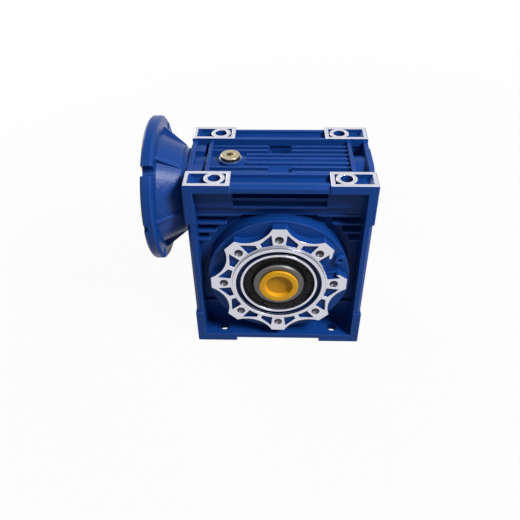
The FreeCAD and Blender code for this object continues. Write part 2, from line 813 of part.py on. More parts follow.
def housing():
    """The square casting that holds everything."""
    shell = housing_shell()
    cuts = pad_cuts() + star_cuts(True) + hub_bores()
    chamber = cylinder_y(chamber_r, (-inner_front, cover_face))
    boss = cylinder_y(bearing_boss_r, (-inner_front, -output_seat_half + join))
    cuts.append(chamber.cut(boss))
    cuts.append(cylinder_x(worm_bore_r, (-input_seat_x, blind_seat_x)))
    cuts.append(cylinder_x(input_cup_r, (-half_width, -input_seat_x)))
    cuts.append(cylinder_x(blind_cup_r, (blind_seat_x, half_width)))
    input_groove = (-input_clip_x, -input_clip_x + circlip_thickness)
    blind_groove = (blind_clip_x - circlip_thickness, blind_clip_x)
    cuts.append(cylinder_x(input_cup_r + circlip_depth, input_groove))
    cuts.append(cylinder_x(blind_cup_r + circlip_depth, blind_groove))
    for y, z in flange_screw_places():
        ends = (-half_width, -flange_floor_x + flange_screw_length + hole_overrun)
        cuts.append(cylinder_x(flange_screw_d / 2 + thread_fit, ends, y, z))
    screw_end = drum_face - cover_screw_length - hole_overrun
    screw_hole = cylinder_y(cover_screw_d / 2 + thread_fit, (screw_end, cover_face), x=cover_screw_r)
    for place in range(cover_screw_count):
        cuts.append(around_output(screw_hole, 360 / cover_screw_count * (place + 0.5)))
    filler_ends = (centre_distance + worm_bore_r - join, top_z)
    cuts.append(cylinder_z(filler_thread_d / 2 + thread_fit, filler_ends, x=-filler_x))
    level_ends = (-drum_face - join, -inner_front + join)
    level = cylinder_y(level_plug_thread_d / 2 + thread_fit, level_ends, x=level_plug_r)
    cuts.append(around_output(level, level_plug_angle))
    return shell.cut(Part.makeCompound(cuts))


# Casing pieces

def side_cover():
    """The rear cover: a round plate with a spigot, the bearing hub and the second star face."""
    seat = cover_face + cover_gasket_thickness
    plate = cylinder_y(cover_r, (seat, drum_face))
    spigot = cylinder_y(chamber_r - spigot_fit, (cover_face - cover_spigot_length, seat))
    spigot = spigot.cut(cylinder_y(chamber_r - cover_spigot_wall, (cover_face - cover_spigot_length, seat)))
    cover = fused([plate, spigot, to_rear(output_hub())])
    cuts = [to_rear(cut) for cut in star_cuts(False) + hub_bores()]
    hole = cylinder_y(cover_screw_d / 2 + clearance_hole, (seat, drum_face), x=cover_screw_r)
    for place in range(cover_screw_count):
        cuts.append(around_output(hole, 360 / cover_screw_count * (place + 0.5)))
    return cover.cut(Part.makeCompound(cuts))


def side_cover_gasket():
    """The thin gasket between the housing's rear face and the cover."""
    ends = (cover_face, cover_face + cover_gasket_thickness)
    ring = cylinder_y(cover_r, ends).cut(cylinder_y(chamber_r, ends))
    hole = cylinder_y(cover_screw_d / 2 + clearance_hole, ends, x=cover_screw_r)
    holes = [around_output(hole, 360 / cover_screw_count * (place + 0.5)) for place in range(cover_screw_count)]
    return ring.cut(Part.makeCompound(holes))


def side_cover_screws():
    """Eight socket head screws round the cover, between the lobes."""
    screws = []
    for place in range(cover_screw_count):
        angle = 360 / cover_screw_count * (place + 0.5)
        seat = polar(cover_screw_r, angle, drum_face)
        screws.append(socket_screw(cover_screw_d, cover_screw_length, seat, -Y_DIR))
    return Part.makeCompound(screws)


def input_flange():
    """The motor flange: rim, ribbed bell and a spigot that centres it in the casing."""
    rim_r = flange_od / 2
    pilot_r = flange_pilot_d / 2
    neck_x = flange_seat_x + bell_neck_length
    spigot_r = input_cup_r - spigot_fit
    spigot_x = half_width - flange_spigot_length
    pilot_x = flange_face_x - flange_pilot_depth
    outline = [(flange_face_x, pilot_r), (flange_face_x, rim_r - flange_edge)]
    outline += [(flange_face_x - flange_edge, rim_r), (flange_rim_x, rim_r)]
    outline += [(bell_base_x, rim_r - flange_rim_step_drop), (bell_base_x, bell_base_r)]
    outline += [(neck_x, bell_end_r), (neck_x, bell_neck_r), (flange_seat_x, bell_neck_r)]
    outline += [(flange_seat_x, spigot_r), (spigot_x, spigot_r), (spigot_x, flange_bore_r)]
    outline += [(flange_floor_x, flange_bore_r), (flange_floor_x, bell_floor_r)]
    outline += [(pilot_x, bell_mouth_r), (pilot_x, pilot_r)]
    bell = turned_x([(-x, r) for x, r in outline])
    rib_outline = [(bell_base_x, flange_rib_top_r), (bell_base_x + join, bell_base_r - flange_rib_sink)]
    rib_outline += [(neck_x, bell_end_r - flange_rib_sink), (neck_x, bell_end_r + flange_rib_end_rise)]
    rib = closed_face([V(-x, -flange_rib_thickness / 2, centre_distance + r) for x, r in rib_outline])
    rib = rib.extrude(V(0, flange_rib_thickness, 0))
    rib_step = 360 / flange_rib_count
    ribs = [around_worm(rib, rib_step * (place + 0.5)) for place in range(flange_rib_count)]
    flange = fused([bell] + ribs)
    cuts = []
    slot_r = flange_slot_circle / 2
    slot_ends = (-flange_face_x, -bell_base_x)
    slot = cylinder_x(flange_slot_width / 2, slot_ends, z=centre_distance + slot_r)
    slot_across = (-flange_slot_width / 2, flange_slot_width / 2)
    slot_rise = (centre_distance + slot_r, centre_distance + rim_r + join)
    slot = slot.fuse(box(slot_ends, slot_across, slot_rise))
    slot_step = 360 / flange_slot_count
    cuts += [around_worm(slot, slot_step * (place + 0.5)) for place in range(flange_slot_count)]
    notch_across = (-flange_notch_width / 2, flange_notch_width / 2)
    notch_rise = (centre_distance + rim_r - flange_notch_depth, centre_distance + rim_r + join)
    notch = box((-flange_face_x, -flange_face_x + flange_notch_depth), notch_across, notch_rise)
    cuts += [around_worm(notch, angle) for angle in (90, 270)]
    screw_ends = (-flange_floor_x, -flange_seat_x)
    for y, z in flange_screw_places():
        cuts.append(cylinder_x(flange_screw_d / 2 + clearance_hole, screw_ends, y, z))
    return flange.cut(Part.makeCompound(cuts))


def input_flange_gasket():
    """The thin gasket between the flange and the casing."""
    ends = (-flange_seat_x, -half_width)
    ring = cylinder_x(bell_neck_r, ends).cut(cylinder_x(input_cup_r, ends))
    hole_r = flange_screw_d / 2 + clearance_hole
    holes = [cylinder_x(hole_r, ends, y, z) for y, z in flange_screw_places()]
    return ring.cut(Part.makeCompound(holes))


def input_flange_screws():
    """Four socket head screws inside the bell."""
    screws = []
    for y, z in flange_screw_places():
        seat = V(-flange_floor_x, y, z)
        screws.append(socket_screw(flange_screw_d, flange_screw_length, seat, X_DIR))
    return Part.makeCompound(screws)


def filler_stack():
    """The filler plug on its seal and washer, on the boss on top of the worm tube."""
    seat = top_z - filler_boss_drop
    seal_z = seat + filler_washer_thickness
    head_z = seal_z + filler_seal_thickness
    bore_r = filler_thread_d / 2 + thread_fit
    washer = cylinder_z(filler_washer_d / 2, (seat, seal_z), x=-filler_x)
    washer = washer.cut(cylinder_z(bore_r, (seat, seal_z), x=-filler_x))
    seal = cylinder_z(filler_seal_d / 2, (seal_z, head_z), x=-filler_x)
    seal = seal.cut(cylinder_z(bore_r, (seal_z, head_z), x=-filler_x))
    head = cylinder_z(filler_head_d / 2, (head_z, head_z + filler_head_height), x=-filler_x)
    shank = cylinder_z(filler_thread_d / 2, (centre_distance + worm_bore_r, head_z), x=-filler_x)
    top = V(-filler_x, 0, head_z + filler_head_height)
    plug = head.fuse(shank).removeSplitter().cut(hex_prism(filler_socket, filler_socket_depth, top, -Z_DIR))
    return {"filler_plug": plug, "filler_plug_seal": seal, "filler_plug_washer": washer}


def level_plug():
    """The small socket plug in the open valley of the front star."""
    top = -drum_face - level_plug_head_height
    head = cylinder_y(level_plug_head_d / 2, (top, -drum_face), x=level_plug_r)
    shank = cylinder_y(level_plug_thread_d / 2, (-drum_face, -inner_front), x=level_plug_r)
    socket = hex_prism(level_plug_socket, level_plug_socket_depth, V(level_plug_r, top, 0), Y_DIR)
    return around_output(head.fuse(shank).removeSplitter().cut(socket), level_plug_angle)


def lip_seal(outer_r, inner_r, inside, outside):
    """A lip seal's outline as (distance, radius): case, thin web and lip."""
    wall = (outer_r - inner_r) * seal_case_share
    lip = outside - (outside - inside) * seal_lip_share
    web = outside - (outside - inside) * seal_web_share
    lip_end = inside + seal_lip_inset
    outline = [(inside, outer_r), (outside, outer_r), (outside, inner_r + wall)]
    outline += [(lip, inner_r + seal_dust_height), (lip, inner_r), (lip_end, inner_r)]
    outline += [(lip_end, inner_r + seal_lip_height), (web, inner_r + seal_lip_height)]
    return outline + [(web, outer_r - wall), (inside, outer_r - wall)]


def output_seal():
    """The rear output seal."""
    outside = seal_inner_face + output_seal_width
    return turned_y(lip_seal(output_seal_r, output_journal_r + shaft_fit, seal_inner_face, outside))


def worm_input_seal():
    """The seal round the worm behind the motor flange."""
    outline = lip_seal(input_cup_r, input_journal_r + shaft_fit, seal_inner_x, seal_outer_x)
    return turned_x([(-x, r) for x, r in outline])


def worm_end_cap():
    """The pressed cap that closes the blind end of the worm bore."""
    wall_r = blind_cup_r - end_cap_wall
    outline = [(cap_outer_x, 0), (cap_outer_x, blind_cup_r), (cap_inner_x, blind_cup_r), (cap_inner_x, wall_r)]
    outline += [(cap_outer_x - end_cap_wall, wall_r), (cap_outer_x - end_cap_wall, 0)]
    return turned_x(outline)


def circlip(cup_r, outer_x):
    """A spring ring in its groove, open at the bottom, on the blind side."""
    ends = (outer_x - circlip_thickness, outer_x)
    outer_r = cup_r + circlip_depth - circlip_play / 2
    ring = cylinder_x(outer_r, ends).cut(cylinder_x(cup_r - circlip_band, ends))
    gap = box(ends, (-circlip_band, circlip_band), (centre_distance - outer_r - join, centre_distance))
    return ring.cut(gap)


# Turning pieces

def output_hollow_shaft():
    """The hollow shaft with its hub, keyed bore and a wider mouth for the front plug."""
    chamfer = shaft_end_chamfer
    shoulder = output_seat_half - output_shoulder_width
    half = wheel_width / 2
    seat_r = wheel_seat_d / 2
    shoulder_r = output_shoulder_d / 2
    right = [(half, seat_r), (half, shoulder_r + output_hub_draft), (shoulder, shoulder_r)]
    right += [(output_seat_half, shoulder_r), (output_seat_half, output_journal_r)]
    right += [(shaft_half - chamfer, output_journal_r), (shaft_half, output_journal_r - chamfer)]
    outline = [(-y, r) for y, r in reversed(right)] + right
    outline += [(shaft_half, output_bore_r + chamfer), (shaft_half - chamfer, output_bore_r)]
    mouth = -shaft_half + plug_barrel_length + plug_play
    outline += [(mouth, output_bore_r), (mouth, plug_mouth_d / 2), (-shaft_half, plug_mouth_d / 2)]
    key_across = (-output_key_width / 2, output_key_width / 2)
    return turned_y(outline).cut(box(key_across, (-shaft_half, shaft_half), (0, output_key_top)))


def front_bore_plug():
    """The plastic plug: a flange on the shaft's end and a cup-shaped barrel in its mouth."""
    barrel_r = plug_mouth_d / 2 - plug_play
    face = -shaft_half - plug_play
    end = -shaft_half + plug_barrel_length
    top = face - plug_flange_thickness
    outline = [(top, plug_recess_d / 2), (top, plug_flange_d / 2), (face, plug_flange_d / 2)]
    outline += [(face, barrel_r), (end, barrel_r), (end, 0), (end - plug_floor, 0)]
    outline += [(end - plug_floor, plug_recess_d / 2 - plug_recess_draft)]
    return turned_y(outline)


def worm_shaft():
    """The worm with its journals and the keyed bore for the motor shaft."""
    neck_r = worm_neck_d / 2
    half = worm_thread_length / 2
    left_shoulder = input_journal_r + worm_shoulder_rise
    right_shoulder = blind_journal_r + worm_shoulder_rise
    outline = [(-worm_end_x, 0), (-worm_end_x, input_journal_r), (-input_seat_x, input_journal_r)]
    outline += [(-input_seat_x, left_shoulder), (-input_seat_x + worm_shoulder_width, left_shoulder)]
    outline += [(-input_seat_x + worm_shoulder_width, neck_r), (-half - neck_r + worm_root_r, neck_r)]
    outline += [(-half, worm_root_r), (half, worm_root_r), (half + neck_r - worm_root_r, neck_r)]
    blind_shoulder_x = blind_seat_x - worm_shoulder_width
    outline += [(blind_shoulder_x, neck_r), (blind_shoulder_x, right_shoulder)]
    outline += [(blind_seat_x, right_shoulder), (blind_seat_x, blind_journal_r)]
    outline += [(blind_bearing_x, blind_journal_r), (blind_bearing_x, 0)]
    shaft = turned_x(outline).fuse(worm_thread()).removeSplitter()
    ends = (-worm_end_x, -worm_end_x + motor_bore_depth)
    key_across = (-motor_key_width / 2, motor_key_width / 2)
    key = box(ends, key_across, (centre_distance, centre_distance + motor_key_top))
    return shaft.cut(cylinder_x(motor_bore_d / 2, ends)).cut(key)


def pieces():
    """Every piece by its node's name."""
    parts = {
        "housing": housing(),
        "side_cover": side_cover(),
        "side_cover_gasket": side_cover_gasket(),
        "side_cover_screws": side_cover_screws(),
        "input_flange": input_flange(),
        "input_flange_gasket": input_flange_gasket(),
        "input_flange_screws": input_flange_screws(),
        "level_plug": level_plug(),
        "front_output_seal": to_rear(output_seal()),
        "rear_output_seal": output_seal(),
        "worm_input_seal": worm_input_seal(),
        "worm_end_cap": worm_end_cap(),
        "input_bearing_circlip": to_left(circlip(input_cup_r, input_clip_x)),
        "blind_bearing_circlip": circlip(blind_cup_r, blind_clip_x),
        "output_hollow_shaft": output_hollow_shaft(),
        "worm_wheel_rim": worm_wheel_rim(),
        "worm_shaft": worm_shaft(),
        "front_bore_plug": front_bore_plug(),
    }
    parts.update(filler_stack())
    parts.update(output_bearing("front_output_bearing", False))
    parts.update(output_bearing("rear_output_bearing", True))
    parts.update(worm_bearing("input_worm_bearing", input_journal_r, input_cup_r, input_bearing_width,
                              input_roller_count, input_seat_x, -1))
    parts.update(worm_bearing("blind_worm_bearing", blind_journal_r, blind_cup_r, blind_bearing_width,
                              blind_roller_count, blind_seat_x, 1))
    return parts


os.makedirs("parts", exist_ok=True)
for node, shape in pieces().items():
    shape.exportStep("parts/" + node + ".step")
    print(node, len(shape.Solids), shape.isValid(), round(shape.Volume))
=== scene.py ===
"""Looks of a worm gear reducer, laid out as an add-on and run as a script.

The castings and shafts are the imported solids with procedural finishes. The plugs, seals, socket screws,
hole threads and pocket floors are surfaces worked out here. Everything is in metres, in the solids' frame.
"""

import json
import math

import bmesh
import bpy
import numpy as np
from bpy.props import FloatProperty, FloatVectorProperty, IntProperty, PointerProperty
from mathutils import Matrix, Vector


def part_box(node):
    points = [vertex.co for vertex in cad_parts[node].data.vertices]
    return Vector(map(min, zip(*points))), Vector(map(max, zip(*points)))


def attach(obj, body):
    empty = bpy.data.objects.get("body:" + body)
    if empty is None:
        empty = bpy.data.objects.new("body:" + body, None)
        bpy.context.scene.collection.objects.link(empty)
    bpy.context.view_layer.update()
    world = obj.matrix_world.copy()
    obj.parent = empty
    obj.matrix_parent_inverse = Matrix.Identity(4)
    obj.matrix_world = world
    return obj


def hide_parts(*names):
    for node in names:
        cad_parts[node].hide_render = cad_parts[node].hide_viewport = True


bl_info = {
    "name": "Worm Gear Reducer Looks",
    "version": (1, 0, 0),
    "blender": (4, 5, 0),
    "location": "View3D > Sidebar > Reducer",
    "description": "Finishes and small parts of a worm gear reducer",
    "category": "Object",
}

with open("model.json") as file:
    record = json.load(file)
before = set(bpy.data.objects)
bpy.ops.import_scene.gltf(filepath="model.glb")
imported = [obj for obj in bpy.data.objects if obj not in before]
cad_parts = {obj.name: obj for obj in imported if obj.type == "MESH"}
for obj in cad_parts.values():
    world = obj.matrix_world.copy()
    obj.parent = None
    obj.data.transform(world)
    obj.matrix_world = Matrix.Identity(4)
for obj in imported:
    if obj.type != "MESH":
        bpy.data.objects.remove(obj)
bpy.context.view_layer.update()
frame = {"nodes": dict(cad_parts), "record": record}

MM = 0.001
FULL_TURN = 2 * math.pi


def node_size(name):
    """Lowest corner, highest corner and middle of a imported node, in metres."""
    low, high = (np.array(corner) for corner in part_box(name))
    return low, high, (low + high) / 2


def mount(name):
    """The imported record's mount of that name."""
    return next(m for m in frame["record"]["mounts"] if m["name"] == name)


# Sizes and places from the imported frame
WORM_HEIGHT = float(node_size("worm_end_cap")[2][2])
FOOT_HEIGHT = float(node_size("housing")[0][2])
TOP_HEIGHT = float(node_size("housing")[1][2])
CASING_END = float(node_size("housing")[0][0])
MOTOR_FACE = float(node_size("input_flange")[0][0])
STAR_FACE = abs(mount("front_output_bolts")["pos_m"][1])
PILOT_RADIUS = mount("front_pilot")["dims"]["r_mm"] * MM
SEAL_RADIUS = float(node_size("front_output_seal")[1][0])
PLUG_FACE = float(node_size("front_bore_plug")[0][1])

# Where the castings change finish; a face that lies within a sliver of a machined level is bare
SLIVER = 0.15 * MM
BELL_RADIUS = 73 * MM
PILOT_WIDTH = 3 * MM
GROOVE_DEPTH = 4 * MM

# Bend of the cutter's marks across the pads, in metres per square metre
CUTTER_SWEEP = 3.0

# Bore plug and level plug
PLUG_RECESS_RADIUS = 16 * MM
PLUG_BARREL_RADIUS = 17.95 * MM
PLUG_FLANGE = 3 * MM
PLUG_DRAFT = 0.5 * MM
LEVEL_PLUG_HEAD = 4 * MM

# Socket screws: head radius as a share of the head's height, knurl as a share of the head's radius
SCREW_HEAD_SHARE = 0.8
KNURL = 0.02

# Points along each rounded corner of an outline
SOFT_STEPS = 5

# Output seals: the rim as (below the face, in from the rim), the lip as (below the face, out from the shaft)
SHAFT_WALL = 12.55 * MM
SEAL_BACK = 0.4 * MM
SEAL_RIM = np.array([(2.5, 0), (2.5, 0.6), (0.3, 2.0), (0, 2.6), (0, 6.6)]) * MM
SEAL_LIP = np.array([(0.3, 4.1), (1.4, 1.1), (2.6, 0), (3.2, 0)]) * MM
SEAL_LIP_BACK = 1.5 * MM
SEAL_CORNER = 0.3 * MM
TICK_INSET = 4 * MM
TICK_BAND = (2.8 * MM, 6.4 * MM)
TICK_DEPTH = 2 * MM
TICK_HALF_WIDTH = 0.85 * MM
TICK_STEPS = np.array([0.8, 0.95, 1.2]) * MM

# End cap of the worm bore, its face as (below the face, in from the rim)
CAP_WALL = 2 * MM
CAP_FACE = np.array([(0, 0), (0, 2.2), (0.7, 3), (0.7, 5), (0.2, 6)]) * MM
CAP_SINK = 0.2 * MM
CAP_CORNER = 0.5 * MM

# Pockets of the star faces, drawn 1 mm into their walls: corners by distance from the axis, angle from a lobe
POCKET_REACH = np.array([56.5, 73.5, 64.0, 56.5]) * MM
POCKET_ANGLE = np.array([0.108, 0.108, 0.362, 0.362])
POCKET_BOTTOM = 7.2 * MM

# Pockets of the front face that stay open beside the level plug, as (lobe, hand)
OPEN_POCKETS = {(0, 1), (1, -1)}

# Floor, which gets whiter with the distance from the middle, and camera
FLOOR_HALF = 4.0
FLOOR_GAP = 0.05 * MM
FLOOR_FADE = (("From Min", 0.3), ("From Max", 1.2), ("To Min", 0.95), ("To Max", 1.0))
SENSOR_WIDTH = 36
CLIP_RANGE = (0.02, 50)

# Lamps: power setting, width and place
LAMP_TARGET = (0, 0, 0.03)
LAMPS = (
    ("key", 0.5, (0.85, -0.62, 1.2)),
    ("fill", 1.0, (-0.6, -0.9, 1.3)),
    ("rear", 0.9, (-1.0, 1.0, 0.6)),
)


# Settings a user would change

class ReducerFinish(bpy.types.PropertyGroup):
    """Colours and surface sizes of the finishes."""

    paint: FloatVectorProperty(
        name="Paint", description="Gloss paint on the castings", subtype="COLOR",
        size=3, min=0, max=1, default=(0.005, 0.0405, 0.2))
    bare: FloatVectorProperty(
        name="Bare aluminium", description="Machined faces of the castings", subtype="COLOR",
        size=3, min=0, max=1, default=(0.645, 0.645, 0.725))
    # Painted shade: the threads get a near-black colour for the shade inside the holes, far darker than
    # aluminium.
    tapped: FloatVectorProperty(
        name="Tapped aluminium", description="Threads in the star faces", subtype="COLOR",
        size=3, min=0, max=1, default=(0.1, 0.1, 0.112))
    steel: FloatVectorProperty(
        name="Steel", description="Shafts and bearings", subtype="COLOR",
        size=3, min=0, max=1, default=(0.115, 0.113, 0.115))
    black_steel: FloatVectorProperty(
        name="Black steel", description="Oxide on the socket screws", subtype="COLOR",
        size=3, min=0, max=1, default=(0.028, 0.028, 0.031))
    bronze: FloatVectorProperty(
        name="Bronze", description="Toothed rim of the worm wheel", subtype="COLOR",
        size=3, min=0, max=1, default=(0.50, 0.30, 0.10))
    zinc: FloatVectorProperty(
        name="Yellow zinc", description="Plating of the filler plug", subtype="COLOR",
        size=3, min=0, max=1, default=(0.44, 0.385, 0.27))
    bright_zinc: FloatVectorProperty(
        name="Bright zinc", description="Plating of the filler plug's washer", subtype="COLOR",
        size=3, min=0, max=1, default=(0.72, 0.72, 0.74))
    rubber: FloatVectorProperty(
        name="Rubber", description="Seals and the end cap", subtype="COLOR",
        size=3, min=0, max=1, default=(0.0095, 0.0092, 0.0105))
    # Partly painted shade: the gaskets are near-black to stand for the shade in the gap between flange and
    # casing.
    gasket: FloatVectorProperty(
        name="Gasket", description="Paper gaskets of the cover and the flange", subtype="COLOR",
        size=3, min=0, max=1, default=(0.010, 0.009, 0.009))
    plastic: FloatVectorProperty(
        name="Yellow plastic", description="Plug in the output bore", subtype="COLOR",
        size=3, min=0, max=1, default=(0.62, 0.31, 0.014))
    grain: FloatProperty(
        name="Casting grain", description="Size of the casting's grain under the paint",
        subtype="DISTANCE", min=0.0001, max=0.01, default=0.0018)
    edge: FloatProperty(
        name="Edge radius", description="Softness of the castings' edges",
        subtype="DISTANCE", min=0, max=0.005, default=0.001)
    mark_pitch: FloatProperty(
        name="Tool mark pitch", description="Distance between the marks on machined faces",
        subtype="DISTANCE", min=0.0001, max=0.005, default=0.0007)


class ReducerFittings(bpy.types.PropertyGroup):
    """Sizes of the small parts."""

    columns: IntProperty(
        name="Columns", description="Faces round each turned part", min=24, max=240, default=96)
    thread_columns: IntProperty(
        name="Thread columns", description="Faces round each hole thread", min=12, max=96, default=36)
    soft_edge: FloatProperty(
        name="Soft edge", description="Rounding on plugs and screws",
        subtype="DISTANCE", min=0, max=0.003, default=0.0007)
    thread_pitch: FloatProperty(
        name="Thread pitch", description="Pitch of the threads in the star faces",
        subtype="DISTANCE", min=0.0005, max=0.003, default=0.0015)
    thread_depth: FloatProperty(
        name="Thread depth", description="Depth of those threads",
        subtype="DISTANCE", min=0.0002, max=0.002, default=0.00075)
    thread_length: FloatProperty(
        name="Thread length", description="How deep those threads run",
        subtype="DISTANCE", min=0.003, max=0.03, default=0.0145)
    seal_ticks: IntProperty(
        name="Seal ticks", description="Moulded marks round each output seal", min=0, max=48, default=12)
    seal_sink: FloatProperty(
        name="Seal sink", description="How far each output seal is pressed in below its full width",
        subtype="DISTANCE", min=0, max=0.003, default=0.0015)
    pocket_depth: FloatProperty(
        name="Pocket depth", description="Depth of the pockets in the star faces",
        subtype="DISTANCE", min=0.0005, max=0.006, default=0.0025)
    plug_recess: FloatProperty(
        name="Plug recess", description="Depth of the recess in the front of the bore plug",
        subtype="DISTANCE", min=0.001, max=0.012, default=0.0056)


class ReducerStage(bpy.types.PropertyGroup):
    """Camera, floor and lamps."""

    eye: FloatVectorProperty(
        name="Camera", description="Place of the camera", subtype="TRANSLATION", unit="LENGTH",
        size=3, default=(-0.0054815, -0.5615907, 0.4563424))
    azimuth: FloatProperty(
        name="Azimuth", description="Direction of the camera round the part", subtype="ANGLE",
        default=math.radians(1.8975))
    elevation: FloatProperty(
        name="Elevation", description="How far the camera looks down", subtype="ANGLE",
        default=math.radians(40.3285))
    roll: FloatProperty(
        name="Roll", description="Lean of the camera", subtype="ANGLE", default=math.radians(-0.6967))
    lens: FloatProperty(
        name="Lens", description="Focal length on a 36 mm sensor", unit="CAMERA", min=10, max=200,
        default=39.261)
    floor: FloatVectorProperty(
        name="Floor", description="Colour of the floor", subtype="COLOR",
        size=3, min=0, max=1, default=(0.4, 0.4, 0.4))
    sky: FloatProperty(
        name="Sky light", description="Even light from all round", min=0, max=2, default=0.1)
    key: FloatProperty(
        name="Key lamp", description="Large soft lamp above", subtype="POWER", unit="POWER",
        min=0, max=500, default=33.0)
    fill: FloatProperty(
        name="Fill lamp", description="Soft lamp from the front", subtype="POWER", unit="POWER",
        min=0, max=500, default=2.5)
    rear: FloatProperty(
        name="Rear lamp", description="Soft low lamp on the far side", subtype="POWER", unit="POWER",
        min=0, max=500, default=16.0)


# Shader helpers

def wire(tree, source, socket):
    """Links a node's output to an input, or sets the input where the source is a plain value."""
    if isinstance(source, bpy.types.NodeSocket):
        tree.links.new(source, socket)
    else:
        socket.default_value = source


def calc(tree, operation, *values):
    """One Math node on values or sockets."""
    node = tree.nodes.new("ShaderNodeMath")
    node.operation = operation
    for value, socket in zip(values, node.inputs):
        wire(tree, value, socket)
    return node.outputs[0]


def all_of(tree, *masks):
    """The product of masks, which is 1 where every mask is 1."""
    joined = masks[0]
    for mask in masks[1:]:
        joined = calc(tree, "MULTIPLY", joined, mask)
    return joined


def any_of(tree, *masks):
    """The greatest of masks, which is 1 where at least one mask is 1."""
    joined = masks[0]
    for mask in masks[1:]:
        joined = calc(tree, "MAXIMUM", joined, mask)
    return joined


def opposite(tree, mask):
    """A mask that is 1 where the given one is 0."""
    return calc(tree, "SUBTRACT", 1.0, mask)


def over(tree, value, limit):
    """A mask that is 1 where the value is over the limit."""
    return calc(tree, "GREATER_THAN", value, limit)


def under(tree, value, limit):
    """A mask that is 1 where the value is under the limit."""
    return calc(tree, "LESS_THAN", value, limit)


def between(tree, share, low, high):
    """A value that goes from low to high as share goes from 0 to 1."""
    return calc(tree, "MULTIPLY_ADD", share, calc(tree, "SUBTRACT", high, low), low)


def from_axis(tree, first, second):
    """The distance from an axis: the root of the sum of the squares of two parts of a place."""
    squares = [calc(tree, "POWER", part, 2.0) for part in (first, second)]
    return calc(tree, "SQRT", calc(tree, "ADD", *squares))


def blend_colour(tree, share, first, second):
    """A colour that goes from the first to the second as share goes from 0 to 1."""
    node = tree.nodes.new("ShaderNodeMix")
    node.data_type = "RGBA"
    for name, value in (("Factor_Float", share), ("A_Color", first), ("B_Color", second)):
        socket = next(s for s in node.inputs if s.identifier == name)
        wire(tree, value, socket)
    return next(s for s in node.outputs if s.identifier == "Result_Color")


def noise(tree, vector, scale, detail=2.0):
    """A noise value over the given coordinates."""
    node = tree.nodes.new("ShaderNodeTexNoise")
    wire(tree, vector, node.inputs["Vector"])
    wire(tree, scale, node.inputs["Scale"])
    node.inputs["Detail"].default_value = detail
    return node.outputs["Fac"]


def place_and_parts(tree):
    """Object coordinates as a vector and as x, y and z."""
    place = tree.nodes.new("ShaderNodeTexCoord").outputs["Object"]
    parts = tree.nodes.new("ShaderNodeSeparateXYZ")
    tree.links.new(place, parts.inputs[0])
    return place, parts.outputs["X"], parts.outputs["Y"], parts.outputs["Z"]


def colour(values, gain=1.0):
    """A colour with alpha, brightened or darkened."""
    return tuple(min(1.0, value * gain) for value in values) + (1.0,)


def new_material(name, **sockets):
    """A material with one Principled BSDF, as (material, tree, shader). Sockets get constant values."""
    material = bpy.data.materials.new(name)
    material.use_nodes = True
    tree = material.node_tree
    shader = tree.nodes["Principled BSDF"]
    for label, value in sockets.items():
        shader.inputs[label.replace("_", " ")].default_value = value
    return material, tree, shader


def bump(tree, height, depth, shader, normal=None):
    """Feeds a height, in metres of depth, to the shader's normal."""
    node = tree.nodes.new("ShaderNodeBump")
    node.inputs["Strength"].default_value = 1.0
    node.inputs["Distance"].default_value = depth
    wire(tree, height, node.inputs["Height"])
    if normal is not None:
        wire(tree, normal, node.inputs["Normal"])
    wire(tree, node.outputs["Normal"], shader.inputs["Normal"])


# Shared effects

def new_group(name, inputs, outputs):
    """An empty shader node group with named sockets, as (tree, inputs, outputs)."""
    tree = bpy.data.node_groups.new(name, "ShaderNodeTree")
    for label, kind in inputs:
        tree.interface.new_socket(name=label, in_out="INPUT", socket_type=kind)
    for label, kind in outputs:
        tree.interface.new_socket(name=label, in_out="OUTPUT", socket_type=kind)
    return tree, tree.nodes.new("NodeGroupInput").outputs, tree.nodes.new("NodeGroupOutput").inputs


def grain_group():
    """Grain: fine and coarse noise as a height and a mask, for castings, platings, rubber and plastic."""
    tree, given, result = new_group(
        "grain", [("Place", "NodeSocketVector"), ("Grain size", "NodeSocketFloat")],
        [("Height", "NodeSocketFloat"), ("Mask", "NodeSocketFloat")])
    scale = calc(tree, "DIVIDE", 1.0, given["Grain size"])
    fine = noise(tree, given["Place"], scale, 3.0)
    coarse = noise(tree, given["Place"], calc(tree, "MULTIPLY", scale, 0.16))
    wire(tree, calc(tree, "MULTIPLY_ADD", coarse, 0.8, fine), result["Height"])
    wire(tree, noise(tree, given["Place"], calc(tree, "MULTIPLY", scale, 0.03)), result["Mask"])
    return tree


def tool_mark_group():
    """Tool marks: rings or lines at a pitch along a distance, each of its own strength."""
    tree, given, result = new_group(
        "tool_marks",
        [("Distance", "NodeSocketFloat"), ("Pitch", "NodeSocketFloat"), ("Place", "NodeSocketVector")],
        [("Height", "NodeSocketFloat"), ("Mask", "NodeSocketFloat")])
    count = calc(tree, "DIVIDE", given["Distance"], given["Pitch"])
    wave = calc(tree, "SINE", calc(tree, "MULTIPLY", count, FULL_TURN))
    strips = tree.nodes.new("ShaderNodeTexNoise")
    strips.noise_dimensions = "1D"
    wire(tree, count, strips.inputs["W"])
    strips.inputs["Scale"].default_value = 0.45
    strips.inputs["Detail"].default_value = 4.0
    cloud = noise(tree, given["Place"], 55.0)
    wire(tree, calc(tree, "MULTIPLY", wave, strips.outputs["Fac"]), result["Height"])
    wire(tree, calc(tree, "MULTIPLY_ADD", cloud, 0.45, strips.outputs["Fac"]), result["Mask"])
    return tree


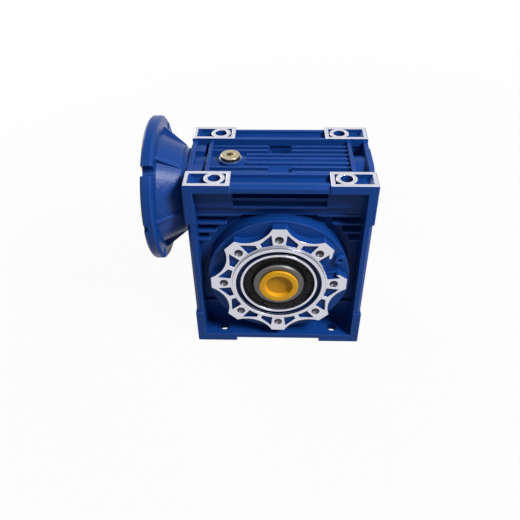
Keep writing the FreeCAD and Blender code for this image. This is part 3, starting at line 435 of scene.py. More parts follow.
def soft_edge_group():
    """Soft edges: the normal rounded over a radius, and a mask that is strong on outer edges and fades out in
    corners, where little open space is left. The finishes paint highlights along that mask."""
    tree, given, result = new_group(
        "soft_edges", [("Radius", "NodeSocketFloat")],
        [("Normal", "NodeSocketVector"), ("Edge", "NodeSocketFloat")])
    bevel = tree.nodes.new("ShaderNodeBevel")
    bevel.samples = 4
    wire(tree, given["Radius"], bevel.inputs["Radius"])
    facing = tree.nodes.new("ShaderNodeNewGeometry").outputs["Normal"]
    dot = tree.nodes.new("ShaderNodeVectorMath")
    dot.operation = "DOT_PRODUCT"
    wire(tree, bevel.outputs[0], dot.inputs[0])
    wire(tree, facing, dot.inputs[1])
    wire(tree, bevel.outputs[0], result["Normal"])
    edge = calc(tree, "MULTIPLY", opposite(tree, dot.outputs["Value"]), 4.0)
    space = tree.nodes.new("ShaderNodeAmbientOcclusion")
    space.samples = 4
    space.only_local = True
    wire(tree, calc(tree, "MULTIPLY", given["Radius"], 2.5), space.inputs["Distance"])
    open_space = calc(tree, "MULTIPLY_ADD", space.outputs["AO"], 2.5, -1.4)
    open_space = calc(tree, "MINIMUM", calc(tree, "MAXIMUM", open_space, 0.0), 1.0)
    wire(tree, all_of(tree, calc(tree, "MINIMUM", edge, 1.0), open_space), result["Edge"])
    return tree


EFFECTS = {"grain": grain_group, "tool_marks": tool_mark_group, "soft_edges": soft_edge_group}


def effect(tree, name, **values):
    """A shared effect's outputs in a material, with its inputs set or linked. The group is built once."""
    node = tree.nodes.new("ShaderNodeGroup")
    node.node_tree = bpy.data.node_groups.get(name) or EFFECTS[name]()
    for label, value in values.items():
        wire(tree, value, node.inputs[label.replace("_", " ").capitalize()])
    return node.outputs


# Finishes

def casting_masks(tree, x, y, z, from_output, from_worm):
    """Masks of the castings' faces: the pads, the star faces with their seal bores, the motor face, the
    walls of the pilots, the grooves inside them and the bell."""
    aside = calc(tree, "ABSOLUTE", y)
    in_casing = over(tree, x, CASING_END - SLIVER)
    levels = any_of(tree, over(tree, z, TOP_HEIGHT - SLIVER), under(tree, z, FOOT_HEIGHT + SLIVER))
    turned_faces = any_of(tree, over(tree, aside, STAR_FACE - SLIVER),
                          under(tree, from_output, SEAL_RADIUS + SLIVER))
    return {
        "pads": all_of(tree, in_casing, levels),
        "star": all_of(tree, in_casing, turned_faces),
        "motor": under(tree, x, MOTOR_FACE + SLIVER),
        "pilot_wall_reflection": all_of(tree, over(tree, from_output, PILOT_RADIUS - 2 * SLIVER),
                             over(tree, aside, STAR_FACE + SLIVER)),
        "groove": all_of(tree, in_casing, under(tree, from_output, PILOT_RADIUS - PILOT_WIDTH),
                         over(tree, aside, STAR_FACE - GROOVE_DEPTH)),
        "bell": all_of(tree, opposite(tree, in_casing), under(tree, from_worm, BELL_RADIUS)),
    }


def casting_finish(finish):
    """Gloss paint over grained castings, cut away to bare aluminium on every machined face. The paint is
    coarser and glossier on the bell, with painted shade in the grooves and painted highlights along outer
    edges, and the bare walls of the pilots are darkened as a painted reflection."""
    material, tree, shader = new_material("painted_casting", Specular_IOR_Level=0.1, Coat_Roughness=0.26)
    place, x, y, z = place_and_parts(tree)
    from_output = from_axis(tree, x, z)
    from_worm = from_axis(tree, y, calc(tree, "SUBTRACT", z, WORM_HEIGHT))
    masks = casting_masks(tree, x, y, z, from_output, from_worm)
    bare = any_of(tree, masks["pads"], masks["star"], masks["motor"])

    sweep = calc(tree, "MULTIPLY_ADD", calc(tree, "POWER", y, 2.0), CUTTER_SWEEP, x)
    turned_part = calc(tree, "ADD", all_of(tree, masks["star"], from_output),
                       all_of(tree, masks["motor"], from_worm))
    distance = calc(tree, "MULTIPLY_ADD", masks["pads"], sweep, turned_part)
    skin = effect(tree, "grain", place=place, grain_size=finish.grain)
    marks = effect(tree, "tool_marks", distance=distance, pitch=finish.mark_pitch, place=place)
    edges = effect(tree, "soft_edges", radius=finish.edge)

    flat = blend_colour(tree, skin["Mask"], colour(finish.paint, 0.88), colour(finish.paint, 1.2))
    # Painted shade: the paint in the grooves inside the pilots is darkened to 0.45 of its colour.
    flat = blend_colour(tree, masks["groove"], flat, colour(finish.paint, 0.45))
    # Painted highlight: outer edges get a paler, brighter paint colour.
    highlit_edge_paint = colour([value + 0.02 for value in finish.paint], 2.2)
    painted = blend_colour(tree, edges["Edge"], flat, highlit_edge_paint)
    metal = blend_colour(tree, marks["Mask"], colour(finish.bare, 0.9), colour(finish.bare, 1.06))
    # Painted reflection: the bare walls of the pilots are darkened to 0.4 of the bare metal colour.
    metal = blend_colour(tree, masks["pilot_wall_reflection"], metal, colour(finish.bare, 0.4))
    wire(tree, blend_colour(tree, bare, painted, metal), shader.inputs["Base Color"])
    wire(tree, bare, shader.inputs["Metallic"])
    wire(tree, calc(tree, "MULTIPLY", masks["bell"], 0.15), shader.inputs["Coat Weight"])

    paint_rough = between(tree, skin["Mask"], 0.23, 0.35)
    paint_rough = calc(tree, "MULTIPLY_ADD", masks["bell"], -0.08, paint_rough)
    metal_rough = between(tree, marks["Mask"], 0.2, 0.32)
    wire(tree, between(tree, bare, paint_rough, metal_rough), shader.inputs["Roughness"])

    coarse = between(tree, masks["bell"], 1.0, 3.4)
    relief = all_of(tree, skin["Height"], coarse, opposite(tree, bare))
    height = calc(tree, "MULTIPLY_ADD", all_of(tree, marks["Height"], bare), 0.06, relief)
    bump(tree, height, 0.16 * MM, shader, edges["Normal"])
    return material


def turned_metal(name, tint, finish, axis, rough):
    """Metal with turning rings about the output axis ("output") or along the worm axis ("worm")."""
    material, tree, shader = new_material(name, Metallic=1.0)
    place, x, y, z = place_and_parts(tree)
    if axis == "output":
        distance = calc(tree, "ADD", from_axis(tree, x, z), y)
    else:
        distance = calc(tree, "ADD", from_axis(tree, y, calc(tree, "SUBTRACT", z, WORM_HEIGHT)), x)
    marks = effect(tree, "tool_marks", distance=distance, pitch=finish.mark_pitch * 0.7, place=place)
    edges = effect(tree, "soft_edges", radius=finish.edge * 0.5)
    # Tool marks vary the tone, and outer edges are paler as a painted highlight.
    marks_and_edge_highlight = calc(tree, "MULTIPLY_ADD", edges["Edge"], 0.4, marks["Mask"])
    wire(tree, blend_colour(tree, marks_and_edge_highlight, colour(tint, 0.7), colour(tint, 1.25)), shader.inputs["Base Color"])
    wire(tree, between(tree, marks["Mask"], rough, rough + 0.15), shader.inputs["Roughness"])
    bump(tree, marks["Height"], 0.004 * MM, shader, edges["Normal"])
    return material


def grained(name, tint, grain, depth, rough, spread, **sockets):
    """A moulded, plated or fibrous finish: colour, roughness and relief follow one grain."""
    material, tree, shader = new_material(name, **sockets)
    place = tree.nodes.new("ShaderNodeTexCoord").outputs["Object"]
    skin = effect(tree, "grain", place=place, grain_size=grain)
    shades = colour(tint, 1 - spread), colour(tint, 1 + spread)
    wire(tree, blend_colour(tree, skin["Mask"], *shades), shader.inputs["Base Color"])
    wire(tree, between(tree, skin["Mask"], rough, rough + 0.14), shader.inputs["Roughness"])
    bump(tree, skin["Height"], depth, shader)
    return material


def plug_finish(finish):
    """Moulded yellow plastic, with painted shade on the floor of its recess."""
    material, tree, shader = new_material("plug_plastic", Specular_IOR_Level=0.12)
    place, x, y, z = place_and_parts(tree)
    skin = effect(tree, "grain", place=place, grain_size=0.8 * MM)
    inside = under(tree, from_axis(tree, x, z), PLUG_RECESS_RADIUS - 0.9 * MM)
    # Painted shade: the floor of the recess gets a darker copy of the plastic colour.
    shaded_floor = all_of(tree, inside, over(tree, y, PLUG_FACE + PLUG_FLANGE))
    moulded = blend_colour(tree, skin["Mask"], colour(finish.plastic, 0.9), colour(finish.plastic, 1.1))
    floor_in_shade = blend_colour(tree, skin["Mask"], colour(finish.plastic, 0.7), colour(finish.plastic, 0.82))
    wire(tree, blend_colour(tree, shaded_floor, moulded, floor_in_shade), shader.inputs["Base Color"])
    wire(tree, between(tree, skin["Mask"], 0.34, 0.48), shader.inputs["Roughness"])
    bump(tree, skin["Height"], 0.004 * MM, shader)
    return material


# Material, colour setting, axis and roughness of the turned finishes
TURNED_FINISHES = {
    "output_steel": ("turned_output_steel", "steel", "output", 0.3),
    "worm_steel": ("turned_worm_steel", "steel", "worm", 0.26),
    "bronze": ("turned_bronze", "bronze", "output", 0.32),
}

# Material, colour setting, grain and relief in millimetres, roughness, spread of colour and constant sockets
GRAINED_FINISHES = {
    "zinc": ("yellow_zinc", "zinc", 0.9, 0.004, 0.26, 0.16, {"Metallic": 1.0}),
    "bright_zinc": ("bright_zinc", "bright_zinc", 0.9, 0.004, 0.24, 0.12, {"Metallic": 1.0}),
    "rubber": ("seal_rubber", "rubber", 0.35, 0.006, 0.5, 0.35, {"Specular_IOR_Level": 0.12}),
    "black_steel": ("black_oxide_steel", "black_steel", 0.5, 0.004, 0.34, 0.3, {"Metallic": 0.7}),
    "gasket": ("gasket_paper", "gasket", 0.4, 0.02, 0.75, 0.4, {"Specular_IOR_Level": 0.1}),
    # The tapped threads' dark colour is painted shade inside the holes.
    "thread": ("tapped_aluminium", "tapped", 0.6, 0.004, 0.3, 0.25, {"Metallic": 1.0}),
}


def new_finish(name):
    """Makes a finish's material from the settings."""
    finish = bpy.context.scene.reducer_finish
    if name == "casting":
        return casting_finish(finish)
    if name == "plastic":
        return plug_finish(finish)
    if name in TURNED_FINISHES:
        label, tint, axis, rough = TURNED_FINISHES[name]
        return turned_metal(label, getattr(finish, tint), finish, axis, rough)
    label, tint, grain, depth, rough, spread, sockets = GRAINED_FINISHES[name]
    return grained(label, getattr(finish, tint), grain * MM, depth * MM, rough, spread, **sockets)


def finish_named(name):
    """A finish's material, made the first time it is asked for."""
    store = dict(bpy.context.scene.get("reducer_materials", {}))
    if name not in store:
        store[name] = new_finish(name).name
        bpy.context.scene["reducer_materials"] = store
    return bpy.data.materials[store[name]]


def dress(finish_name, nodes):
    """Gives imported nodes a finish."""
    for node in nodes:
        mesh = frame["nodes"][node].data
        mesh.materials.clear()
        mesh.materials.append(finish_named(finish_name))


# Surfaces

def grid_faces(rows, columns, ring=False):
    """Corner numbers of the quads of a grid that closes on itself along its columns, and in a ring
    along its rows too."""
    row, column = np.meshgrid(np.arange(rows if ring else rows - 1), np.arange(columns), indexing="ij")
    row, column = row.ravel(), column.ravel()
    below, beside = (row + 1) % rows, (column + 1) % columns
    return np.stack([row * columns + column, row * columns + beside,
                     below * columns + beside, below * columns + column], axis=1)


def turned(along, reach, place, axis, angles, ring=False):
    """A turned surface. point(u, v) = place + along(u, v) axis + reach(u, v) (cos v side + sin v across),
    where side and across are square to the axis and to each other."""
    axis = np.array(axis, float)
    side = np.roll(axis, 1)
    across = np.cross(axis, side)
    along, reach = np.broadcast_arrays(along, reach)
    turn = np.cos(angles)[None, :, None] * side + np.sin(angles)[None, :, None] * across
    points = np.array(place, float) + along[:, :, None] * axis + reach[:, :, None] * turn
    return points.reshape(-1, 3), grid_faces(*along.shape, ring)


def even_angles(columns):
    """Evenly spaced angles once round."""
    return np.arange(columns) * FULL_TURN / columns


def soft_outline(corners, radii, steps=SOFT_STEPS):
    """An outline with rounded corners. Each corner c between p and q on its two sides is the curve
    (1 - t)^2 p + 2 t (1 - t) c + t^2 q, with p and q the corner's radius away."""
    corners = np.array(corners, float)
    radii = np.broadcast_to(np.array(radii, float), len(corners))

    def towards(others):
        """Points on the way to the neighbouring corners."""
        away = others - corners
        length = np.maximum(np.linalg.norm(away, axis=1), 1e-12)
        return corners + away * (np.minimum(radii, 0.45 * length) / length)[:, None]

    start, end = towards(np.roll(corners, 1, axis=0)), towards(np.roll(corners, -1, axis=0))
    t = np.linspace(0, 1, steps)[None, :, None]
    curve = (1 - t) ** 2 * start[:, None] + 2 * t * (1 - t) * corners[:, None] + t ** 2 * end[:, None]
    return curve.reshape(-1, 2)


def lathe(outline, place, axis, columns):
    """A plain turned part: a turned surface whose rows are an outline of (along, reach)."""
    along = np.repeat(outline[:, :1], columns, axis=1)
    return turned(along, outline[:, 1:], place, axis, even_angles(columns))


def hexagon(across_flats, angles):
    """The reach of a hexagon's outline at each angle: half its width over the cosine of the angle
    from the nearest flat's middle."""
    sixth = math.pi / 3
    return across_flats / 2 / np.cos((angles + sixth / 2) % sixth - sixth / 2)


def socket_fastener(place, axis, fittings, *, head_r, head_height, socket, socket_depth,
                    shank_r, shank_length, soft, knurl=0.0, dome=0.0):
    """A socket head with its shank. It is a turned surface whose rows run from the shank's end over
    the head into the socket. Knurl rows pull every second column in, and socket rows follow a hexagon."""
    columns = fittings.columns
    angles = even_angles(columns)
    plain = np.ones(columns)
    ridges = 1 - knurl * (np.arange(columns) % 2)
    hexagonal = hexagon(socket, angles)
    top = head_height + dome
    mouth = 0.62 * socket
    tip = 0.14 * shank_r
    shoulder = soft_outline([(0, head_r), (head_height, head_r), (top, mouth)], [0, soft, 0])
    shoulder = shoulder[SOFT_STEPS:2 * SOFT_STEPS + 1]
    rows = [(-shank_length, 0 * plain), (-shank_length, (shank_r - tip) * plain),
            (tip - shank_length, shank_r * plain), (0, shank_r * plain),
            (0, (head_r - 0.5 * soft) * plain), (0.5 * soft, head_r * ridges),
            (shoulder[0, 0], head_r * ridges)]
    rows += [(along, reach * plain) for along, reach in shoulder]
    rows += [(top, (mouth - 0.01 * socket) * plain),
             (top - 0.4 * soft, np.minimum(mouth - 0.02 * socket, hexagonal)),
             (top - soft, hexagonal), (top - socket_depth, hexagonal),
             (top - socket_depth - 0.15 * socket, 0 * plain)]
    along = np.array([row[0] for row in rows])[:, None]
    reach = np.array([row[1] for row in rows])
    return turned(along, reach, place, axis, angles)


def hole_thread(place, axis, reach, fittings):
    """The thread in a tapped hole. reach(u, v) = reach - depth w, where w rises and falls evenly once
    for each pitch of along(u) / pitch + v / one turn; along runs from the mouth into the hole. The crests
    and roots are flat, and the thread fades in over a little more than one pitch."""
    pitch = fittings.thread_pitch
    rows_in_pitch, lead_in, crest = 6, 1.2, 0.15
    angles = even_angles(fittings.thread_columns)
    along = np.arange(0, fittings.thread_length, pitch / rows_in_pitch)[:, None] + 0 * angles
    phase = (along / pitch + angles / FULL_TURN) % 1
    wave = np.clip((1 - np.abs(2 * phase - 1)) * (1 + 2 * crest) - crest, 0, 1)
    fade = np.clip(along / (lead_in * pitch), 0, 1)
    radius = reach - fittings.thread_depth * wave * fade
    along = np.vstack([along, along[-1:] + pitch])
    radius = np.vstack([radius, 0 * angles])
    return turned(-along, radius, place, axis, angles)


def pocket_floor(face, facing, turn, hand, depth):
    """The floor of one pocket of a star face, on one hand of the lobe at that turn. It is a block:
    point(u, v) = middle + share(u) (corner(v) - middle), at level(u) below the face."""
    angle = turn + hand * POCKET_ANGLE
    corners = np.stack([POCKET_REACH * np.cos(angle), POCKET_REACH * np.sin(angle)], axis=1)
    middle = corners.mean(axis=0)
    share = np.array([0, 1, 1, 0])[:, None, None]
    level = np.array([depth, depth, POCKET_BOTTOM, POCKET_BOTTOM])[:, None] + np.zeros(len(corners))
    spread = middle + share * (corners - middle)
    points = np.stack([spread[:, :, 0], face - facing * level, spread[:, :, 1]], axis=2)
    return points.reshape(-1, 3), grid_faces(*level.shape)


def ticked_angles(count, middle_r, plain_steps=12):
    """Angles once round that crowd together at the sides of each of count marks."""
    step = FULL_TURN / count
    close = np.concatenate([-TICK_STEPS[::-1], TICK_STEPS]) / middle_r
    offsets = np.sort(np.concatenate([close, np.linspace(0.08, 0.92, plain_steps) * step]))
    return (np.arange(count)[:, None] * step + offsets[None]).ravel()


def output_seal(place, axis, inner_r, outer_r, width, ticks):
    """An output seal: a closed ring of (along, reach) rows, with short marks sunk into its face.
    along(u, v) = outline(u) - depth band(u) mark(v), where band and mark are 1 on a mark and 0 off it."""
    rim = np.array([width, outer_r]) - SEAL_RIM
    lip = np.array([width, inner_r]) + SEAL_LIP * (-1, 1)
    corners = np.vstack([(SEAL_BACK, outer_r), rim, lip, (SEAL_BACK, inner_r + SEAL_LIP_BACK)])
    outline = soft_outline(corners, SEAL_CORNER, steps=4)
    middle_r = outer_r - TICK_INSET
    angles = ticked_angles(max(ticks, 1), middle_r)
    step = FULL_TURN / max(ticks, 1)
    off = np.abs((angles + step / 2) % step - step / 2) * middle_r
    mark = (off < TICK_HALF_WIDTH) * float(ticks > 0)
    inset = outer_r - outline[:, 1]
    on_face = outline[:, 0] > width / 2
    band = (inset > TICK_BAND[0]) & (inset < TICK_BAND[1]) & on_face
    along = outline[:, :1] - TICK_DEPTH * band[:, None] * mark[None]
    return turned(along, outline[:, 1:], place, axis, angles, ring=True)


def make_piece(name, parts, body, finish_name, stands_for=(), crease=32):
    """Joins surfaces into one object that rides on a body, with its doubles merged."""
    starts = np.cumsum([0] + [len(points) for points, _ in parts])
    points = np.concatenate([points for points, _ in parts])
    faces = np.concatenate([faces + start for (_, faces), start in zip(parts, starts)])
    mesh = bpy.data.meshes.new(name)
    mesh.from_pydata(points.tolist(), [], faces.tolist())
    work = bmesh.new()
    work.from_mesh(mesh)
    bmesh.ops.remove_doubles(work, verts=work.verts, dist=2e-6)
    bmesh.ops.dissolve_degenerate(work, edges=work.edges, dist=1e-7)
    bmesh.ops.recalc_face_normals(work, faces=work.faces)
    work.to_mesh(mesh)
    work.free()
    mesh.shade_smooth()
    mesh.set_sharp_from_angle(angle=math.radians(crease))
    mesh.materials.append(finish_named(finish_name))
    piece = bpy.data.objects.new(name, mesh)
    bpy.context.scene.collection.objects.link(piece)
    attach(piece, body)
    if stands_for:
        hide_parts(*stands_for)


# Operators for the part

class REDUCER_OT_castings(bpy.types.Operator):
    """Paint the castings and leave their machined faces bare"""

    bl_idname = "reducer.castings"
    bl_label = "Finish castings"

    def execute(self, context):
        dress("casting", ["housing", "side_cover", "input_flange"])
        dress("gasket", ["side_cover_gasket", "input_flange_gasket"])
        return {"FINISHED"}


class REDUCER_OT_shafts(bpy.types.Operator):
    """Give the shafts, gears and bearings their turned finishes"""

    bl_idname = "reducer.shafts"
    bl_label = "Finish shafts and bearings"

    def execute(self, context):
        ends = ("cup", "cone", "rollers")
        output = [f"{side}_output_bearing_{end}" for side in ("front", "rear") for end in ends]
        worm = [f"{side}_worm_bearing_{end}" for side in ("input", "blind") for end in ends]
        dress("output_steel", ["output_hollow_shaft"] + output)
        dress("worm_steel", ["worm_shaft", "input_bearing_circlip", "blind_bearing_circlip"] + worm)
        dress("bronze", ["worm_wheel_rim"])
        dress("rubber", ["worm_input_seal", "filler_plug_seal"])
        dress("bright_zinc", ["filler_plug_washer"])
        return {"FINISHED"}


class REDUCER_OT_filler_plug(bpy.types.Operator):
    """Add the plated filler plug with its socket"""

    bl_idname = "reducer.filler_plug"
    bl_label = "Add filler plug"

    def execute(self, context):
        fittings = context.scene.reducer_fittings
        low, high, middle = node_size("filler_plug")
        seat = float(node_size("filler_plug_seal")[1][2])
        dome = 0.25 * MM
        plug = socket_fastener(
            (middle[0], middle[1], seat), (0, 0, 1), fittings, head_r=high[0] - middle[0],
            head_height=high[2] - seat - dome, socket=8 * MM, socket_depth=5.5 * MM, shank_r=8 * MM,
            shank_length=seat - low[2], soft=fittings.soft_edge * 1.3, dome=dome)
        make_piece("filler_plug_head", [plug], "casing", "zinc", ["filler_plug"])
        return {"FINISHED"}


class REDUCER_OT_level_plug(bpy.types.Operator):
    """Add the painted level plug in the open valley of the star face"""

    bl_idname = "reducer.level_plug"
    bl_label = "Add level plug"

    def execute(self, context):
        fittings = context.scene.reducer_fittings
        low, high, middle = node_size("level_plug")
        seat = low[1] + LEVEL_PLUG_HEAD
        plug = socket_fastener(
            (middle[0], seat, middle[2]), (0, -1, 0), fittings, head_r=high[0] - middle[0],
            head_height=LEVEL_PLUG_HEAD, socket=5 * MM, socket_depth=3 * MM, shank_r=4 * MM,
            shank_length=high[1] - seat, soft=fittings.soft_edge)
        make_piece("painted_level_plug", [plug], "casing", "casting", ["level_plug"])
        return {"FINISHED"}


class REDUCER_OT_screws(bpy.types.Operator):
    """Add the knurled socket screws of the side cover and the motor flange"""

    bl_idname = "reducer.screws"
    bl_label = "Add socket screws"

    def execute(self, context):
        fittings = context.scene.reducer_fittings

        low, high, middle = node_size("side_cover_screws")
        head, count = 6 * MM, 8
        first = FULL_TURN / count / 2
        reach = (high[0] - middle[0] - SCREW_HEAD_SHARE * head) / math.cos(first)
        seat = high[1] - head
        turns = even_angles(count) + first
        places = [(reach * math.cos(turn), seat, reach * math.sin(turn)) for turn in turns]
        cover = dict(socket=5 * MM, socket_depth=3.2 * MM, shank_length=seat - low[1])
        self.add("cover", "side_cover_screws", places, (0, 1, 0), head, cover, fittings)

        low, high, middle = node_size("input_flange_screws")
        head = 8 * MM
        aside, above = high[1:] - middle[1:] - SCREW_HEAD_SHARE * head
        seat = low[0] + head
        corners = ((aside, above), (aside, -above), (-aside, above), (-aside, -above))
        places = [(seat, y, middle[2] + z) for y, z in corners]
        flange = dict(socket=6 * MM, socket_depth=4.2 * MM, shank_length=high[0] - seat)
        self.add("flange", "input_flange_screws", places, (-1, 0, 0), head, flange, fittings)
        return {"FINISHED"}

    def add(self, label, node, places, axis, head, sizes, fittings):
        """Adds screws of one size, whose shank is as thick as the head is high."""
        screws = [socket_fastener(place, axis, fittings, head_r=SCREW_HEAD_SHARE * head, head_height=head,
                                  shank_r=head / 2, soft=fittings.soft_edge, knurl=KNURL, **sizes)
                  for place in places]
        make_piece(f"knurled_{label}_screws", screws, "casing", "black_steel", [node])


class REDUCER_OT_seals(bpy.types.Operator):
    """Add the output seals and the end cap of the worm bore"""

    bl_idname = "reducer.seals"
    bl_label = "Add seals and end cap"

    def execute(self, context):
        fittings = context.scene.reducer_fittings
        shaft_r = mount("output_bore")["dims"]["r_mm"] * MM + SHAFT_WALL
        for side, facing in (("front", -1), ("rear", 1)):
            node = f"{side}_output_seal"
            low, high, _ = node_size(node)
            back = high[1] if facing < 0 else low[1]
            width = high[1] - low[1] - fittings.seal_sink
            seal = output_seal((0, back, 0), (0, facing, 0), shaft_r, high[0], width, fittings.seal_ticks)
            make_piece(f"{side}_lip_seal", [seal], "casing", "rubber", [node])

        low, high, middle = node_size("worm_end_cap")
        width, cap_r = high[0] - low[0], high[2] - middle[2]
        back, inner_r = width - CAP_WALL, cap_r - CAP_WALL
        inner = [(back, 0), (back, inner_r), (0, inner_r), (0, cap_r)]
        corners = np.vstack([inner, np.array([width, cap_r]) - CAP_FACE, (width - CAP_SINK, 0)])
        outline = soft_outline(corners, [0] + [CAP_CORNER] * (len(corners) - 2) + [0])
        cap = lathe(outline, (low[0], 0, middle[2]), (1, 0, 0), fittings.columns)
        make_piece("moulded_end_cap", [cap], "casing", "rubber", ["worm_end_cap"])
        return {"FINISHED"}


class REDUCER_OT_bore_plug(bpy.types.Operator):
    """Add the moulded plug in the front of the output bore"""

    bl_idname = "reducer.bore_plug"
    bl_label = "Add bore plug"

    def execute(self, context):
        fittings = context.scene.reducer_fittings
        low, high, _ = node_size("front_bore_plug")
        length, flange_r = high[1] - low[1], high[0]
        flange_back, floor = length - PLUG_FLANGE, length - fittings.plug_recess
        corners = [(0, 0), (0, PLUG_BARREL_RADIUS), (flange_back, PLUG_BARREL_RADIUS),
                   (flange_back, flange_r), (length, flange_r), (length, PLUG_RECESS_RADIUS),
                   (floor, PLUG_RECESS_RADIUS - PLUG_DRAFT), (floor, 0)]
        softness = np.array([0, 1, 0, 0.6, 1.4, 1.6, 1, 0])
        outline = soft_outline(corners, fittings.soft_edge * softness, steps=7)
        plug = lathe(outline, (0, high[1], 0), (0, -1, 0), fittings.columns)
        make_piece("moulded_bore_plug", [plug], "bore_plug", "plastic", ["front_bore_plug"])
        return {"FINISHED"}


class REDUCER_OT_threads(bpy.types.Operator):
    """Add the threads in the bolt holes of both star faces"""

    bl_idname = "reducer.threads"
    bl_label = "Add hole threads"

    def execute(self, context):
        fittings = context.scene.reducer_fittings
        clearance = 0.03 * MM
        for side, facing in (("front", -1), ("rear", 1)):
            bolts = mount(f"{side}_output_bolts")
            circle, hole_r = bolts["dims"]["pcd_mm"] * MM / 2, bolts["dims"]["hole_r_mm"] * MM
            places = [(circle * math.cos(turn), bolts["pos_m"][1], circle * math.sin(turn))
                      for turn in even_angles(int(bolts["dims"]["count"]))]
            threads = [hole_thread(place, (0, facing, 0), hole_r - clearance, fittings) for place in places]
            make_piece(f"{side}_star_threads", threads, "casing", "thread", crease=50)
        return {"FINISHED"}


class REDUCER_OT_pocket_floors(bpy.types.Operator):
    """Add the painted floors of the pockets in both star faces"""

    bl_idname = "reducer.pocket_floors"
    bl_label = "Add pocket floors"

    def execute(self, context):
        depth = context.scene.reducer_fittings.pocket_depth
        for side, facing, left_open in (("front", -1, OPEN_POCKETS), ("rear", 1, set())):
            bolts = mount(f"{side}_output_bolts")
            lobes = enumerate(even_angles(int(bolts["dims"]["count"])))
            floors = [pocket_floor(bolts["pos_m"][1], facing, turn, hand, depth)
                      for lobe, turn in lobes for hand in (-1, 1) if (lobe, hand) not in left_open]
            make_piece(f"{side}_star_pocket_floors", floors, "casing", "casting")
        return {"FINISHED"}


# Stage

def in_sight(tree, clear=1.0):
    """1 for rays from the camera, 0 for other light, and clear in reflections and through glass."""
    path = tree.nodes.new("ShaderNodeLightPath").outputs
    mirrored = any_of(tree, path["Is Glossy Ray"], path["Is Transmission Ray"])
    return any_of(tree, path["Is Camera Ray"], all_of(tree, mirrored, clear))


def pale_floor(stage):
    """The floor's material: pale, and nearly white where it is seen, while it keeps a soft shadow.
    Under the casing it isn't white in reflections, because no light gets there."""
    material, tree, shader = new_material("pale_floor", Roughness=0.9, Specular_IOR_Level=0.1)
    shader.inputs["Base Color"].default_value = colour(stage.floor)
    glow = tree.nodes.new("ShaderNodeEmission")
    mix = tree.nodes.new("ShaderNodeMixShader")
    _, x, y, _ = place_and_parts(tree)
    fade = tree.nodes.new("ShaderNodeMapRange")
    wire(tree, from_axis(tree, x, y), fade.inputs["Value"])
    for label, value in FLOOR_FADE:
        fade.inputs[label].default_value = value
    _, high, _ = node_size("housing")
    beside = over(tree, calc(tree, "ABSOLUTE", x), float(high[0]))
    before = over(tree, calc(tree, "ABSOLUTE", y), float(high[1]))
    seen = in_sight(tree, any_of(tree, beside, before))
    wire(tree, all_of(tree, seen, fade.outputs["Result"]), mix.inputs[0])
    wire(tree, shader.outputs[0], mix.inputs[1])
    wire(tree, glow.outputs[0], mix.inputs[2])
    wire(tree, mix.outputs[0], tree.nodes["Material Output"].inputs["Surface"])
    return material


def studio_world(stage):
    """An even pale world that is white to the camera and in reflections."""
    world = bpy.data.worlds.new("studio")
    world.use_nodes = True
    tree = world.node_tree
    background = tree.nodes["Background"]
    background.inputs["Color"].default_value = (1, 1, 1, 1)
    wire(tree, between(tree, in_sight(tree), stage.sky, 1.0), background.inputs["Strength"])
    bpy.context.scene.world = world


def soft_lamp(name, power, size, place):
    """A large area lamp that faces the part."""
    lamp = bpy.data.lights.new(name, "AREA")
    lamp.energy = power
    lamp.shape = "DISK"
    lamp.size = size
    holder = bpy.data.objects.new(name, lamp)
    holder.location = place
    holder.rotation_euler = (Vector(LAMP_TARGET) - Vector(place)).to_track_quat("-Z", "Y").to_euler()
    bpy.context.scene.collection.objects.link(holder)


def photo_camera(stage):
    """The camera at the photograph's viewing angle."""
    azimuth, elevation, roll = stage.azimuth, stage.elevation, stage.roll
    back = Vector((math.sin(azimuth) * math.cos(elevation), -math.cos(azimuth) * math.cos(elevation),
                   math.sin(elevation)))
    level = Vector((math.cos(azimuth), math.sin(azimuth), 0))
    up = back.cross(level)
    right = level * math.cos(roll) + up * math.sin(roll)
    up = up * math.cos(roll) - level * math.sin(roll)
    data = bpy.data.cameras.new("photo_camera")
    data.lens = stage.lens
    data.sensor_width = SENSOR_WIDTH
    data.clip_start, data.clip_end = CLIP_RANGE
    camera = bpy.data.objects.new("photo_camera", data)
    camera.matrix_world = Matrix.Translation(stage.eye) @ Matrix((right, up, back)).transposed().to_4x4()
    bpy.context.scene.collection.objects.link(camera)
    bpy.context.scene.camera = camera


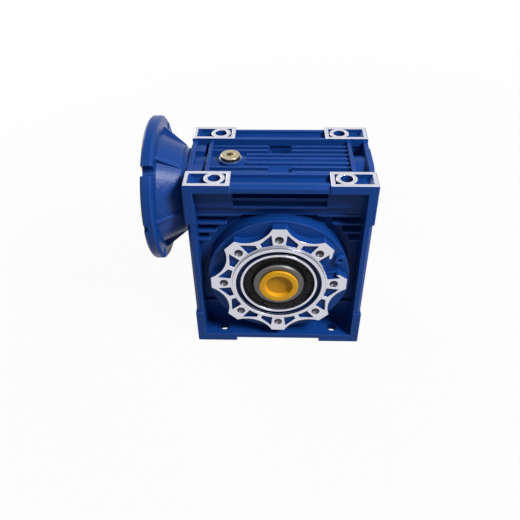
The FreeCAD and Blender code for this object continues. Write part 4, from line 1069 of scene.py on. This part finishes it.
class REDUCER_OT_stage(bpy.types.Operator):
    """Add the floor, the lamps, the world and the camera"""

    bl_idname = "reducer.stage"
    bl_label = "Add stage"

    def execute(self, context):
        scene = context.scene
        stage = scene.reducer_stage
        level = FOOT_HEIGHT - FLOOR_GAP
        corners = [(x * FLOOR_HALF, y * FLOOR_HALF, level) for x, y in ((-1, -1), (1, -1), (1, 1), (-1, 1))]
        mesh = bpy.data.meshes.new("floor")
        mesh.from_pydata(corners, [], [(0, 1, 2, 3)])
        mesh.materials.append(pale_floor(stage))
        floor = bpy.data.objects.new("floor", mesh)
        scene.collection.objects.link(floor)
        studio_world(stage)
        for name, size, place in LAMPS:
            soft_lamp(f"{name}_lamp", getattr(stage, name), size, place)
        photo_camera(stage)
        scene.view_settings.view_transform = "Standard"
        return {"FINISHED"}


class REDUCER_PT_looks(bpy.types.Panel):
    """Lists the reducer's settings and operators"""

    bl_idname = "REDUCER_PT_looks"
    bl_label = "Worm Gear Reducer"
    bl_space_type = "VIEW_3D"
    bl_region_type = "UI"
    bl_category = "Reducer"

    def draw(self, context):
        layout = self.layout
        for group in SETTINGS:
            box = layout.box()
            values = getattr(context.scene, group)
            for name in type(values).__annotations__:
                box.prop(values, name)
        for operator in OPERATORS:
            layout.operator(operator.bl_idname)


SETTINGS = {
    "reducer_finish": ReducerFinish,
    "reducer_fittings": ReducerFittings,
    "reducer_stage": ReducerStage,
}
OPERATORS = (REDUCER_OT_castings, REDUCER_OT_shafts, REDUCER_OT_filler_plug, REDUCER_OT_level_plug,
             REDUCER_OT_screws, REDUCER_OT_seals, REDUCER_OT_bore_plug, REDUCER_OT_threads,
             REDUCER_OT_pocket_floors, REDUCER_OT_stage)
CLASSES = tuple(SETTINGS.values()) + OPERATORS + (REDUCER_PT_looks,)


def register():
    """Registers the classes and puts the settings on the scene."""
    for item in CLASSES:
        bpy.utils.register_class(item)
    for name, group in SETTINGS.items():
        setattr(bpy.types.Scene, name, PointerProperty(type=group))


def unregister():
    """Takes the settings and classes away again."""
    for name in SETTINGS:
        delattr(bpy.types.Scene, name)
    for item in reversed(CLASSES):
        bpy.utils.unregister_class(item)


def main():
    """Builds the looks."""
    register()
    for operator in OPERATORS:
        group, name = operator.bl_idname.split(".")
        getattr(getattr(bpy.ops, group), name)()


if __name__ == "__main__":
    main()
